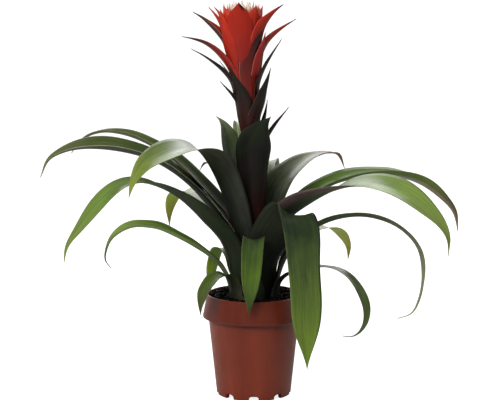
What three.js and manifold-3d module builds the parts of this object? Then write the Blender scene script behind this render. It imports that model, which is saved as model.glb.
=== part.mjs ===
// A potted guzmania, a bromeliad. Long strap leaves arch out of one nested rosette, and a
// stalk from its middle carries dark scape bracts and a funnel of red bracts with cream tips.
// It grows in peat in a round thin-walled nursery pot.
// Millimetres, +Z up. The origin is the centre of the pot's underside.
import * as THREE from "three";
import { mergeVertices } from "three/addons/utils/BufferGeometryUtils.js";
import Module from "manifold-3d";

const wasm = await Module();
wasm.setup();

const { lerp, smoothstep, degToRad } = THREE.MathUtils;

// Driving dimensions
const CLEARANCE = 0.35;

const POT_HEIGHT = 129.5;
const POT_RIM_RADIUS = 59.4;
const POT_WALL = 1.3;
const COLLAR_HEIGHT = 30;
const COLLAR_FOOT_RADIUS = 65;
const BODY_TOP_RADIUS = 57.8;
const BODY_FOOT_RADIUS = 47.4;
const FOOT_RING_WIDTH = 3;
const FLOOR_TOP = 5.2;
const POT_SIDES = 36;
const NOTCH_COUNT = 9;
const NOTCH_WIDTH = 12;
const NOTCH_HEIGHT = 6.6;

const SOIL_EDGE_TOP = 127.8;
const SOIL_MIDDLE_TOP = 123.5;
const SOIL_SIDES = 32;
const WELL_FLOOR = 115.5;
const SHEATH_FOOT = 116;

const ROSETTE_X = 1;
const ROSETTE_OUTER_RADIUS = 31;
const RING_SPACING = 2.1;
const RING_SPREAD = 0.0042;
const SHEATH_THICKNESS = 1.5;
const BLADE_THICKNESS = 0.8;
const LEAF_COLUMNS = 5;

const STALK_TOP = 493.5;
const STALK_LEAN = [1, 18, -16, -15];
const STALK_RADIUS = 5.5;
const HEAD_FOOT = 321.5;
const BRACT_THICKNESS = 0.9;

// Materials, one for each colour of plant and pot
const terracotta = new THREE.MeshStandardMaterial({ color: 0x96402c, roughness: 0.42 });
const peat = new THREE.MeshStandardMaterial({ color: 0x17110d, roughness: 1.0 });
const leafGreen = new THREE.MeshStandardMaterial({ color: 0x3f6324, roughness: 0.38 });
const innerLeafGreen = new THREE.MeshStandardMaterial({ color: 0x26371f, roughness: 0.4 });
const darkBract = new THREE.MeshStandardMaterial({ color: 0x3a1f1c, roughness: 0.42 });
const redBract = new THREE.MeshStandardMaterial({ color: 0xc42a1a, roughness: 0.4 });
const creamTip = new THREE.MeshStandardMaterial({ color: 0xf2e3c4, roughness: 0.5 });

// A closed geometry as a solid, for joining and cutting
function solidOf(geometry) {
  const bare = geometry.clone();
  bare.deleteAttribute("normal");
  bare.deleteAttribute("uv");
  const merged = mergeVertices(bare, 1e-4);
  return new wasm.Manifold(
    new wasm.Mesh({
      numProp: 3,
      vertProperties: new Float32Array(merged.attributes.position.array),
      triVerts: new Uint32Array(merged.index.array),
    }),
  );
}

function geometryOf(solid) {
  const mesh = solid.getMesh();
  const position = new Float32Array(mesh.numVert * 3);
  for (let i = 0; i < mesh.numVert; i++) {
    position.set(mesh.vertProperties.subarray(i * mesh.numProp, i * mesh.numProp + 3), i * 3);
  }
  const geometry = new THREE.BufferGeometry();
  geometry.setAttribute("position", new THREE.BufferAttribute(position, 3));
  geometry.setIndex(new THREE.BufferAttribute(new Uint32Array(mesh.triVerts), 1));
  return geometry;
}

// Cutting can leave loose scraps: only the largest body is the piece
function largestBody(solid) {
  const bodies = solid.decompose();
  return bodies.reduce((best, body) => (body.volume() > best.volume() ? body : best));
}

// A profile of [radius, height] pairs turned about the Z axis
function turned(profile, sides) {
  const points = profile.map(([radius, height]) => new THREE.Vector2(radius, height));
  return new THREE.LatheGeometry(points, sides).rotateX(Math.PI / 2);
}

// Blades: leaves and bracts
//
// A blade follows a midrib and is an arc across it, hollow side towards the stem. Both faces
// share their margins, so it is thickest at the midrib. midrib(s) gives the point, direction
// and hollow side at the share s of its length. radius(s), halfWidth(s) and thickness(s) are
// the arc's radius and half width and the blade's thickness there. reach lengthens the tip.
function bladeGeometry({ midrib, radius, halfWidth, thickness, steps, columns, reach = 0 }) {
  const position = [];
  const index = [];
  const ring = 2 * columns - 2;
  const point = new THREE.Vector3();
  for (let i = 0; i < steps; i++) {
    const s = i / steps;
    const { origin, across, hollow } = midrib(s);
    const arc = radius(s);
    const halfAngle = Math.min(halfWidth(s) / arc, 2.6);
    const half = thickness(s) / 2;
    for (let k = 0; k < ring; k++) {
      const onInside = k < columns;
      const column = onInside ? k : ring - k;
      const angle = halfAngle * ((2 * column) / (columns - 1) - 1);
      const isMargin = column === 0 || column === columns - 1;
      const shell = isMargin ? arc : arc + (onInside ? -half : half);
      point.copy(origin).addScaledVector(hollow, arc - shell * Math.cos(angle));
      point.addScaledVector(across, shell * Math.sin(angle));
      position.push(point.x, point.y, point.z);
    }
  }
  const tip = position.length / 3;
  const end = midrib(1);
  point.crossVectors(end.across, end.hollow).multiplyScalar(reach).add(end.origin);
  position.push(point.x, point.y, point.z);

  for (let i = 0; i + 1 < steps; i++) {
    for (let k = 0; k < ring; k++) {
      const a = i * ring + k;
      const b = i * ring + ((k + 1) % ring);
      const c = b + ring;
      const d = a + ring;
      if (k < columns - 1) index.push(a, c, b, a, d, c);
      else index.push(a, d, b, b, d, c);
    }
  }
  const last = (steps - 1) * ring;
  for (let k = 0; k < ring; k++) index.push(last + k, tip, last + ((k + 1) % ring));
  for (let k = 0; k + 1 < columns; k++) {
    const a = k;
    const b = k + 1;
    const c = (ring - k - 1) % ring;
    const d = (ring - k) % ring;
    if (b !== c) index.push(a, b, c);
    if (a !== d) index.push(a, c, d);
  }
  const geometry = new THREE.BufferGeometry();
  geometry.setAttribute("position", new THREE.Float32BufferAttribute(position, 3));
  geometry.setIndex(index);
  return geometry;
}

// The midrib of a blade that grows at a turn about an upright axis. Its points are
// [out, up] or [out, up, aside]: distance from the axis, height, and distance to the left.
function midribAlong(points, turn, axisX, roll = () => 0) {
  const curve = new THREE.CatmullRomCurve3(
    points.map(([out, up, aside = 0]) => new THREE.Vector3(out, aside, up)),
  );
  curve.arcLengthDivisions = 400;
  const upright = new THREE.Vector3(0, 0, 1);
  const radians = degToRad(turn);
  return (s) => {
    const tangent = curve.getTangentAt(s);
    const across = new THREE.Vector3(0, 1, 0).addScaledVector(tangent, -tangent.y).normalize();
    across.applyAxisAngle(tangent, degToRad(roll(s)));
    const hollow = new THREE.Vector3().crossVectors(tangent, across);
    const origin = curve.getPointAt(s);
    for (const v of [origin, across, hollow]) v.applyAxisAngle(upright, radians);
    origin.x += axisX;
    return { origin, across, hollow, out: Math.hypot(origin.x - axisX, origin.y) };
  };
}

function pathLength(points) {
  const places = points.map(([out, up, aside = 0]) => new THREE.Vector3(out, aside, up));
  return new THREE.CatmullRomCurve3(places).getLength();
}

// A smooth curve through evenly spaced values, read at a share from 0 to 1
function along(values, share) {
  const place = THREE.MathUtils.clamp(share, 0, 1) * (values.length - 1);
  const i = Math.min(Math.floor(place), values.length - 2);
  const value = (k) => values[THREE.MathUtils.clamp(k, 0, values.length - 1)];
  const t = place - i;
  const startSlope = (value(i + 1) - value(i - 1)) / 2;
  const endSlope = (value(i + 2) - value(i)) / 2;
  const step = value(i + 1) - value(i);
  const bend = 3 * step - 2 * startSlope - endSlope;
  const swing = startSlope + endSlope - 2 * step;
  return value(i) + t * (startSlope + t * (bend + t * swing));
}

// Rosette leaves, from the outermost ring in. Each clasps the rosette as a sheath on its ring
// up to the height leave, then follows the points of path as a strap. widths are the strap's
// widths at even steps from there towards the tip, channel the half angle of its hollow in
// degrees and roll its twist in degrees. wrap is the sheath's half angle about the rosette.
const LEAVES = [
  { name: "leaf_front_left_low", turn: 222, ring: 0, leave: 127.5, wrap: 42, steps: 12,
    path: [[36, 143.5], [43, 153.5], [53.5, 158.5], [67, 155.5], [79, 146.5], [87.5, 132.5],
      [90.5, 112.5]],
    widths: [24, 27, 27, 19], channel: [45, 35, 30], roll: [0, 0, -5, -10] },
  { name: "leaf_right_low", turn: 332, ring: 0, leave: 125.5, wrap: 45, steps: 18,
    path: [[36, 144.5], [49, 158], [71, 167.5], [94, 171.5], [113, 171], [129, 164], [142, 152.5],
      [150.5, 138.5], [155, 123.5], [154, 107.5], [147, 95.5], [136, 87.5], [122, 86.5]],
    widths: [20, 20, 21, 15], channel: [50, 15, 15, 25], roll: [0, -4, 15, 20] },
  { name: "leaf_back_left_low", turn: 130, ring: 0, leave: 131.5, wrap: 42, steps: 12,
    path: [[44, 156.5], [50, 170.5], [60, 179], [71, 176.5], [80, 163.5], [88, 137.5], [92.5, 107.5]],
    widths: [24, 25, 24, 17], channel: [50, 25, 15], roll: [0, 0, 0] },
  { name: "leaf_front_low", turn: 264, ring: 1, leave: 153.5, wrap: 34, steps: 14,
    path: [[36, 181.5, 2], [44, 201.5, 4], [55, 207.5, 5], [65, 195.5, 4.5], [71, 159.5, 3], [73, 113.5]],
    widths: [19, 28, 29, 22], channel: [45, 40, 20], roll: [0, 0, 0] },
  { name: "leaf_back_right_low", turn: 60, ring: 1, leave: 141.5, wrap: 46, steps: 11,
    path: [[41, 159.5], [54, 170.5], [72, 181.5], [98, 181.5], [120, 168.5], [132, 143.5]],
    widths: [24, 25, 23, 16], channel: [50, 35, 25], roll: [0, 0, 0] },
  { name: "leaf_left_thin", turn: 186, ring: 1, leave: 129.5, wrap: 36, steps: 17,
    path: [[39, 156], [54, 174.5], [78, 191.5], [103, 205.5], [122, 214], [137, 217], [152, 217.5],
      [167.5, 212], [180.5, 201.5], [187, 188], [188.5, 175.5], [181, 163.5]],
    widths: [20, 23, 29, 22], channel: [55, 55, 40], roll: [0, -6, -10, 0] },
  { name: "leaf_right_slender", turn: 1, ring: 2, leave: 143.5, wrap: 50, steps: 18,
    path: [[38, 168.5], [52, 192.5], [83, 216], [115, 226.5], [147, 226.5], [182.5, 213], [206.5, 187.5],
      [213.5, 150.5], [208.5, 118], [200, 102], [181, 94.5]],
    widths: [32, 23, 20, 24], channel: [55, 45, 40], roll: [0, 0, 20] },
  { name: "leaf_back_left_mid", turn: 140, ring: 2, leave: 153.5, wrap: 54, steps: 14,
    path: [[46, 203.5], [72, 229.5], [97, 246.5], [118, 250], [134, 243.5], [144, 226.5], [147.5, 197.5]],
    widths: [22, 20, 34, 33], channel: [50, 25, 12], roll: [0, 0, 0] },
  { name: "leaf_back_right_mid", turn: 46, ring: 3, leave: 149.5, wrap: 44, steps: 15,
    path: [[38, 171.5], [55, 181.5], [86, 190.5], [119, 197.5], [139, 197.5], [157, 191.5], [172, 181],
      [182.5, 165], [182.5, 146]],
    widths: [26, 26, 28, 26], channel: [50, 25, 12], roll: [0, 0, -8] },
  { name: "leaf_left_droop", turn: 208, ring: 3, leave: 149.5, wrap: 56, steps: 18, columns: 7,
    path: [[41, 193.5], [52, 209.5], [66, 223.5, 1], [84, 241.5, 2], [104, 258, 2], [127, 271.5, 1],
      [146, 279], [160, 281.5], [175, 280.5], [190, 274.5], [213, 256.5], [238, 229.5],
      [253.5, 209.5], [259, 186.5]],
    widths: [52, 50, 34, 27], channel: [50, 32, 25], roll: [10, 0, -20, -25] },
  { name: "leaf_front_right_broad", turn: 285, ring: 4, leave: 155.5, wrap: 54, steps: 18, columns: 7,
    path: [[34, 183.5, 3], [42, 203.5, 8], [54, 224.5, 16], [61, 234.5, 22], [68, 239.5, 28],
      [75, 236, 32],
      [79, 223.5, 36.5], [81, 183.5, 39.5], [80, 131.5, 43.5], [77, 43.5, 47]],
    widths: [46, 54, 54, 44, 37], channel: [45, 13, 14, 16], roll: [-20, -15, -4, 0] },
  { name: "leaf_back_far", turn: 122, ring: 4, leave: 163.5, wrap: 54, steps: 12,
    path: [[55, 235.5], [74, 260.5], [94, 278.5], [109, 284.5], [124, 282.5], [139, 271.5]],
    widths: [33, 30, 24, 16], channel: [50, 40, 30], roll: [0, 0, 0] },
  { name: "leaf_right_arch", turn: 326, ring: 5, leave: 167.5, wrap: 56, steps: 18, columns: 7,
    path: [[33, 217.5], [47, 232.5], [62, 243.5], [82, 255], [105, 265.5], [132, 275], [160, 281],
      [181, 281.5], [201, 278], [225, 268.5], [248, 254], [263.5, 240.5], [272.5, 225.5], [274, 202.5]],
    widths: [46, 51, 56, 38], channel: [45, 28, 20], roll: [-18, 7, 18, 14] },
  { name: "leaf_left_long", turn: 187, ring: 5, leave: 167.5, wrap: 56, steps: 18, columns: 7,
    path: [[34, 208.5], [45, 224.5], [60, 243.5], [79, 265.5], [103, 286], [131, 302.5], [159, 312],
      [193, 317.5], [219.5, 317.5], [240.5, 312.5], [257, 303], [269, 280]],
    widths: [38, 46, 46, 41], channel: [45, 40, 58, 40], roll: [0, -8, -13, -8] },
  { name: "leaf_right_high", turn: 24, ring: 6, leave: 173.5, wrap: 58, steps: 17,
    path: [[34, 211.5], [52, 229], [80, 250], [105, 261.5], [129, 267.5], [155, 270], [182, 270],
      [209, 267], [238.5, 257], [268.5, 238], [291.5, 215.5], [300.5, 186]],
    widths: [33, 41, 54, 46], channel: [50, 45, 45], roll: [0, 0, 0] },
  { name: "leaf_left_high", turn: 163, ring: 6, leave: 175.5, wrap: 54, steps: 17,
    path: [[31, 220.5], [51, 244.5], [72, 266.5], [94, 286], [119, 303.5], [147, 317.5], [175, 326.5],
      [204, 329], [226, 323], [240, 312.5], [251, 298.5]],
    widths: [38, 41, 38, 26], channel: [45, 36, 50, 45], roll: [0, 0, -4] },
  { name: "leaf_back_right_high", turn: 80, ring: 7, leave: 185.5, wrap: 58, steps: 12,
    path: [[36, 219.5], [60, 251.5], [85, 273.5], [112, 285.5], [136, 277.5], [154, 253.5], [162, 223.5]],
    widths: [34, 32, 28, 20], channel: [50, 40, 30], roll: [0, 0, 0] },
  { name: "leaf_front_left_broad", turn: 225, ring: 7, leave: 187.5, wrap: 58, steps: 18, columns: 7,
    path: [[27, 223.5, -4], [37, 257.5, -8], [50.5, 285.5, -9], [68.5, 305, -6], [88, 317.5, -2],
      [106, 322.5], [128, 323], [156, 318.5], [180, 310.5], [193.5, 300], [203, 287.5], [209.5, 271]],
    widths: [40, 50, 60, 42], channel: [45, 30, 22], roll: [0, -4, -16, -18] },
  { name: "leaf_right_upright", turn: 40, ring: 8, leave: 191.5, wrap: 48, steps: 14,
    path: [[24, 215.5], [32, 240.5], [44, 263.5, -1], [63, 281.5, -2], [84, 292.5, -2],
      [103, 297.5, -1], [123, 299.5],
      [143, 296], [157, 275.5]],
    widths: [56, 65, 50, 24], channel: [50, 35, 30], roll: [0, 0, 0] },
  { name: "leaf_back_left_upright", turn: 146, ring: 9, leave: 201.5, wrap: 48, steps: 14,
    path: [[19, 235.5], [28, 273.5], [38, 307.5], [44.5, 329.5], [50, 343.5], [60, 353.5]],
    widths: [46, 54, 58, 48], channel: [50, 40, 32], roll: [0, 0, 0] },
  { name: "leaf_back_upright", turn: 102, ring: 10, leave: 205.5, wrap: 56, steps: 12,
    path: [[17, 253.5], [21, 288.5], [26, 312.5], [36, 330.5], [54, 340.5], [78, 336.5], [100, 317.5],
      [116, 291.5]],
    widths: [36, 38, 34, 24], channel: [50, 35, 25], roll: [0, 0, 0] },
  { name: "leaf_front_clasping", turn: 270, ring: 10, leave: 209.5, wrap: 60, steps: 15, columns: 7,
    path: [[16, 253.5, -2], [18, 293.5, -2.5], [20, 321.5, -0.5], [23, 342.5, 8.5], [26, 357.5, 20.5]],
    widths: [40, 39, 42, 46], channel: [50, 45, 40], roll: [0, 0, 0] },
];

function leafGeometry(leaf) {
  const ringRadius = ROSETTE_OUTER_RADIUS - leaf.ring * RING_SPACING;
  const sheath = [0, 0.5, 1].map((share) => {
    const up = lerp(SHEATH_FOOT, leaf.leave, share);
    return [ringRadius * (1 + RING_SPREAD * (up - WELL_FLOOR)), up];
  });
  const points = [...sheath, ...leaf.path];
  const leaveShare = pathLength(sheath) / pathLength(points);
  const wrapWidth = ringRadius * degToRad(leaf.wrap);
  const strapShare = (s) => (s - leaveShare) / (1 - leaveShare);
  const roll = (s) => along([0, ...leaf.roll], strapShare(s));
  const midrib = midribAlong(points, leaf.turn, ROSETTE_X, roll);

  const halfWidth = (s) => {
    const strap = along([...leaf.widths, 0], strapShare(s)) / 2;
    return lerp(wrapWidth, strap, smoothstep(s, 0.3 * leaveShare, 1.5 * leaveShare));
  };
  const radius = (s) => {
    const free = Math.max(halfWidth(s), 1) / degToRad(along(leaf.channel, strapShare(s)));
    return lerp(midrib(s).out, free, smoothstep(s, leaveShare, 2 * leaveShare));
  };
  const thickness = (s) => lerp(SHEATH_THICKNESS, BLADE_THICKNESS, smoothstep(s, 0, 2 * leaveShare));
  const columns = leaf.columns ?? LEAF_COLUMNS;
  return bladeGeometry({ midrib, radius, halfWidth, thickness, steps: leaf.steps, columns });
}

const plant = new THREE.Group();
function addMesh(name, geometry, material) {
  const mesh = new THREE.Mesh(geometry, material);
  mesh.name = name;
  plant.add(mesh);
  return mesh;
}

for (const leaf of LEAVES) {
  addMesh(leaf.name, leafGeometry(leaf), leaf.ring > 6 ? innerLeafGreen : leafGreen);
}

// The pot: a stepped floor with a centre disc and a foot ring, a tapered body, and a collar
function potGeometry() {
  const collarFoot = POT_HEIGHT - COLLAR_HEIGHT;
  const ringInner = BODY_FOOT_RADIUS - FOOT_RING_WIDTH - 1;
  const floorBottom = FLOOR_TOP - POT_WALL;
  const profile = [
    [0, 0],
    [21, 0],
    [23, floorBottom],
    [ringInner - 0.6, floorBottom],
    [ringInner, 0],
    [BODY_FOOT_RADIUS - 1, 0],
    [BODY_FOOT_RADIUS, 1.6],
    [BODY_TOP_RADIUS, collarFoot],
    [COLLAR_FOOT_RADIUS - 0.8, collarFoot + 0.2],
    [COLLAR_FOOT_RADIUS, collarFoot + 1.2],
    [POT_RIM_RADIUS, POT_HEIGHT - 0.8],
    [POT_RIM_RADIUS - 0.6, POT_HEIGHT],
    [POT_RIM_RADIUS - POT_WALL, POT_HEIGHT - 0.6],
    [COLLAR_FOOT_RADIUS - POT_WALL - 0.3, collarFoot + 2.6],
    [BODY_TOP_RADIUS - POT_WALL, collarFoot + 1.2],
    [BODY_FOOT_RADIUS - POT_WALL, FLOOR_TOP + 1],
    [BODY_FOOT_RADIUS - POT_WALL - 1.2, FLOOR_TOP],
    [24.2, FLOOR_TOP],
    [22, POT_WALL],
    [0, POT_WALL],
  ];
  let pot = solidOf(turned(profile, POT_SIDES));
  for (let k = 0; k < NOTCH_COUNT; k++) {
    const notch = new THREE.BoxGeometry(16, NOTCH_WIDTH, 2 * NOTCH_HEIGHT);
    notch.translate(BODY_FOOT_RADIUS + 1, 0, 0);
    notch.rotateZ((2 * Math.PI * k) / NOTCH_COUNT - Math.PI / 2);
    pot = pot.subtract(solidOf(notch));
  }
  return geometryOf(pot);
}
addMesh("pot", potGeometry(), terracotta);

// Peat, heaped a little round the plant, with a plain well that the rosette stands in
function soilTop(radius, angle) {
  const heap = lerp(SOIL_MIDDLE_TOP, SOIL_EDGE_TOP, radius / POT_RIM_RADIUS);
  const coarse = Math.sin(5 * angle + 1.3) * Math.sin(radius / 5.5);
  const lumps = coarse + 0.7 * Math.sin(9 * angle - radius / 3);
  return heap + lerp(0.3, 1, smoothstep(radius, 34, 44)) * lumps;
}

function soilGeometry() {
  const gap = CLEARANCE + 0.2;
  const collarFoot = POT_HEIGHT - COLLAR_HEIGHT;
  const wellRadius = ROSETTE_OUTER_RADIUS + 3;
  const topRadius = POT_RIM_RADIUS - POT_WALL - gap - 0.2;
  const tops = [wellRadius + 0.4, 38.5, 43, 48, 53, topRadius];
  const profile = [
    [0, FLOOR_TOP + gap],
    [BODY_FOOT_RADIUS - POT_WALL - 1.2 - gap, FLOOR_TOP + gap],
    [BODY_FOOT_RADIUS - POT_WALL - gap, FLOOR_TOP + 1.2],
    [BODY_TOP_RADIUS - POT_WALL - gap, collarFoot + 1.6],
    [COLLAR_FOOT_RADIUS - POT_WALL - 0.8 - gap, collarFoot + 3.2],
    ...tops.toReversed().map((radius) => [radius, SOIL_EDGE_TOP]),
    [wellRadius, WELL_FLOOR],
    [0, WELL_FLOOR],
  ];
  const geometry = mergeVertices(bareLathe(profile, SOIL_SIDES), 1e-3);
  const position = geometry.attributes.position;
  for (let i = 0; i < position.count; i++) {
    if (Math.abs(position.getZ(i) - SOIL_EDGE_TOP) > 1e-3) continue;
    const radius = Math.hypot(position.getX(i), position.getY(i));
    const angle = Math.atan2(position.getY(i), position.getX(i));
    position.setZ(i, soilTop(radius, angle));
    const inward = 1 - smoothstep(radius, wellRadius, POT_RIM_RADIUS - 8);
    position.setX(i, position.getX(i) + ROSETTE_X * inward);
  }
  for (let i = 0; i < position.count; i++) {
    const radius = Math.hypot(position.getX(i), position.getY(i));
    if (Math.abs(position.getZ(i) - WELL_FLOOR) < 1e-3 && radius > 1) {
      position.setX(i, position.getX(i) + ROSETTE_X);
    }
  }
  return geometry;
}

function bareLathe(profile, sides) {
  const geometry = turned(profile, sides);
  geometry.deleteAttribute("normal");
  geometry.deleteAttribute("uv");
  return geometry;
}
addMesh("potting_peat", soilGeometry(), peat);

// The stalk leans: its middle is a cubic curve in X over its height
function stalkX(up) {
  const u = THREE.MathUtils.clamp((up - WELL_FLOOR) / (STALK_TOP - WELL_FLOOR), 0, 1.1);
  const v = 1 - u;
  const [a, b, c, d] = STALK_LEAN;
  return a * v ** 3 + 3 * b * u * v ** 2 + 3 * c * u ** 2 * v + d * u ** 3;
}

function leaned(geometry) {
  const position = geometry.attributes.position;
  for (let i = 0; i < position.count; i++) {
    position.setX(i, position.getX(i) + stalkX(position.getZ(i)));
  }
  return geometry;
}

// The radius that clasping bracts have at a height, from a list of [height, radius]
function radiusAt(list, up) {
  const next = Math.max(1, list.findIndex(([height]) => height > up));
  const pair = up >= list.at(-1)[0] ? list.slice(-2) : list.slice(next - 1, next + 1);
  const [[lowUp, low], [highUp, high]] = pair;
  return lerp(low, high, (up - lowUp) / (highUp - lowUp));
}

// A bract clasps the head from root to leave and then follows the points of path to its tip.
// A broad one keeps its width nearly to the tip. extra makes it larger all round.
function bractGeometry(bract, clasp, extra = 0) {
  const { turn, root, leave, path, width, broad = false, steps = 7, columns = 5 } = bract;
  const at = (up) => [radiusAt(clasp, up), up];
  const points = [at(root), at(lerp(root, leave, 0.5)), at(leave), ...path];
  const midrib = midribAlong(points, turn, 0);
  const leaveShare = pathLength(points.slice(0, 3)) / pathLength(points);
  const profile = broad ? [0.6, 0.8, 0.95, 1, 0.98, 0.78, 0] : [0.6, 0.85, 1, 1, 0.8, 0.35, 0];
  const bareHalfWidth = (s) => (width / 2) * along(profile, s) + 0.3;
  const halfWidth = (s) => bareHalfWidth(s) + extra;
  const radius = (s) => {
    const free = Math.max(bareHalfWidth(s) / degToRad(broad ? 35 : 62), 1.5);
    return lerp(midrib(s).out, free, smoothstep(s, leaveShare - 0.05, leaveShare + 0.22));
  };
  const thickness = () => BRACT_THICKNESS + 2 * extra;
  return leaned(bladeGeometry({ midrib, radius, halfWidth, thickness, steps, columns, reach: 2 * extra }));
}

const DARK_CLASP = [
  [253.5, 4.6], [299.5, 4.8], [321.5, 8.2], [338.5, 12], [353.5, 13.4], [388.5, 16.2],
  [413.5, 18], [439.5, 24],
];
const DARK_BRACTS = [
  { turn: 350, root: 291.5, leave: 309.5, width: 16,
    path: [[18.1, 323.5], [26.6, 336], [37.6, 350.5], [52.1, 368]] },
  { turn: 15, root: 293.5, leave: 323.5, width: 18,
    path: [[17.6, 339.5], [21.6, 353.5], [24.6, 367.5], [26.1, 376.5]] },
  { turn: 98, root: 293.5, leave: 333.5, width: 20, steps: 6,
    path: [[19, 351.5], [26, 367.5], [32, 377.5]] },
  { turn: 328, root: 295.5, leave: 353.5, width: 32,
    path: [[23.5, 373.5], [29, 389], [34.5, 404], [39, 418.5]] },
  { turn: 200, root: 297.5, leave: 355.5, width: 24,
    path: [[14.7, 371.5], [20.2, 382], [27.7, 392.5], [34.2, 401]] },
  { turn: 128, root: 297.5, leave: 359.5, width: 20, steps: 6,
    path: [[18, 375.5], [23, 387.5], [26, 399.5]] },
  { turn: 236, root: 299.5, leave: 383.5, width: 34,
    path: [[18.4, 397.5, -3], [19.6, 409.5, -6], [21.4, 420.5, -9]] },
  { turn: 62, root: 299.5, leave: 375.5, width: 22, steps: 6,
    path: [[19, 389.5], [24, 401.5], [28, 413.5]] },
  { turn: 191, root: 301.5, leave: 383.5, width: 26, steps: 8,
    path: [[19.5, 398.5], [27.5, 410.5], [38.5, 421.5], [52.5, 432.5], [67, 441]] },
  { turn: 150, root: 301.5, leave: 393.5, width: 14, steps: 6,
    path: [[23, 406.5], [29, 415.5], [36, 424.5]] },
  { turn: 352, root: 301.5, leave: 391.5, width: 24,
    path: [[21.5, 406], [28.5, 419.5], [37.5, 434.5], [50, 453.5]] },
];

const RED_CLASP = [
  [322.5, 4.6], [338.5, 9.2], [353.5, 10.4], [388.5, 13.6], [413.5, 16.2], [439.5, 21.2],
  [463.5, 24.6], [493.5, 25.4],
];
const RED_BRACTS = [
  { turn: 186, root: 353.5, leave: 401.5, width: 32, steps: 8,
    path: [[20.5, 414.8], [28, 427], [37.5, 438], [49, 446.5], [63, 452], [77, 455.5]] },
  { turn: 4, root: 373.5, leave: 423.5, width: 28,
    path: [[25, 435], [32, 447], [42, 457.5], [53, 466.5], [69, 477.5]] },
  { turn: 295, root: 369.5, leave: 421.5, width: 28,
    path: [[21, 435.5, 2], [23, 446.5, 7], [25, 456.5, 12], [27, 465.5, 17]] },
  { turn: 335, root: 378.5, leave: 401.5, width: 26,
    path: [[21, 411.5], [24.5, 425.5], [28, 440.5], [30.5, 452.5], [31.5, 461.5]] },
  { turn: 202, root: 378.5, leave: 427.5, width: 31,
    path: [[25, 447], [26.5, 460], [30.5, 472], [37, 483], [45, 493]] },
  { turn: 168, root: 388.5, leave: 437.5, width: 34,
    path: [[25.3, 447.5], [32.3, 457.5], [41.3, 467.5], [51.8, 477.5], [63.8, 486]] },
  { turn: 340, root: 403.5, leave: 451.5, width: 38,
    path: [[29.2, 465.5], [36.2, 476.5], [44.7, 486.5], [55.7, 496]] },
  { turn: 207, root: 403.5, leave: 451.5, width: 32,
    path: [[27, 464.5], [29, 475], [33, 485], [39, 493]] },
  { turn: 100, root: 363.5, leave: 413.5, width: 26, steps: 6,
    path: [[24, 427.5], [34, 443.5], [46, 455.5]] },
  { turn: 55, root: 383.5, leave: 433.5, width: 26, steps: 6,
    path: [[26, 447.5], [34, 461.5], [40, 475.5]] },
  { turn: 130, root: 393.5, leave: 443.5, width: 26, steps: 6,
    path: [[28, 457.5], [36, 469.5], [44, 481.5]] },
  { turn: 78, root: 408.5, leave: 455.5, width: 28, steps: 6,
    path: [[29, 469.5], [36, 480.5], [44, 489.5]] },
  { turn: 262, root: 408.5, leave: 458.5, width: 36, broad: true,
    path: [[25.5, 471.5], [26, 484.5], [26.5, 498]] },
  { turn: 222, root: 418.5, leave: 458.5, width: 28, broad: true,
    path: [[25, 469.5], [26.5, 480.5], [29, 491.5]] },
  { turn: 310, root: 418.5, leave: 458.5, width: 32, broad: true,
    path: [[25, 469.5], [26, 481.5], [27.5, 494]] },
  { turn: 350, root: 418.5, leave: 458.5, width: 32, broad: true,
    path: [[25, 468.5], [25.4, 480.5], [26, 493.5]] },
  { turn: 38, root: 418.5, leave: 458.5, width: 34, steps: 6, broad: true,
    path: [[25, 468.5], [26, 479.5], [28, 490.5]] },
  { turn: 85, root: 418.5, leave: 458.5, width: 34, steps: 6, broad: true,
    path: [[25, 468.5], [26, 480.5], [28, 492.5]] },
  { turn: 132, root: 418.5, leave: 458.5, width: 34, steps: 6, broad: true,
    path: [[25, 468.5], [26, 479.5], [28, 489.5]] },
  { turn: 178, root: 418.5, leave: 458.5, width: 32, steps: 6, broad: true,
    path: [[25, 468.5], [25.6, 479.5], [27, 489.5]] },
];

// Pale tips of the innermost bracts and flower buds, which stand in the red cup
const CREAM_TIPS = [
  { turn: 10, out: 17, top: 495 },
  { turn: 55, out: 16, top: 499 },
  { turn: 100, out: 17, top: 496 },
  { turn: 148, out: 17, top: 498 },
  { turn: 192, out: 17, top: 495 },
  { turn: 235, out: 16, top: 499 },
  { turn: 280, out: 15, top: 497 },
  { turn: 325, out: 16, top: 500 },
  { turn: 30, out: 7, top: 501 },
  { turn: 150, out: 7, top: 500 },
  { turn: 270, out: 6, top: 502 },
];

function creamGeometry({ turn, out, top }) {
  const points = [[out * 0.3, 458.5], [out * 0.75, 469.5], [out, 481.5], [out + 2, top]];
  const halfWidth = (s) => 5.5 * along([0.7, 1, 0.95, 0.6, 0], s) + 0.3;
  const radius = (s) => lerp(7, 4, s);
  const midrib = midribAlong(points, turn, 0);
  return leaned(bladeGeometry({ midrib, radius, halfWidth, thickness: () => 1, steps: 5, columns: 3 }));
}

function creamHeartGeometry() {
  const profile = [[0, 454.1 + CLEARANCE], [10, 454.9 + CLEARANCE], [12, 459.5], [9, 471.5], [0, 477.5]];
  return leaned(bareLathe(profile, 12));
}

function stalkGeometry() {
  const profile = [
    [0, WELL_FLOOR + CLEARANCE],
    [STALK_RADIUS, WELL_FLOOR + CLEARANCE],
    [STALK_RADIUS, 163.5],
    [STALK_RADIUS, 213.5],
    [STALK_RADIUS, 263.5],
    [STALK_RADIUS, HEAD_FOOT - 8],
    [STALK_RADIUS - 1.5, HEAD_FOOT],
    [0, HEAD_FOOT],
  ];
  return leaned(bareLathe(profile, 12));
}

function headCoreGeometry() {
  const wall = RED_CLASP.slice(0, -1).map(([up, radius]) => [radius - 0.2, up]);
  const profile = [[0, HEAD_FOOT + CLEARANCE], ...wall, [23, 464.1], [15, 455.5], [0, 453.5]];
  return leaned(bareLathe(profile, 20));
}

function joined(geometries) {
  return wasm.Manifold.union(geometries.map(solidOf));
}

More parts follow.
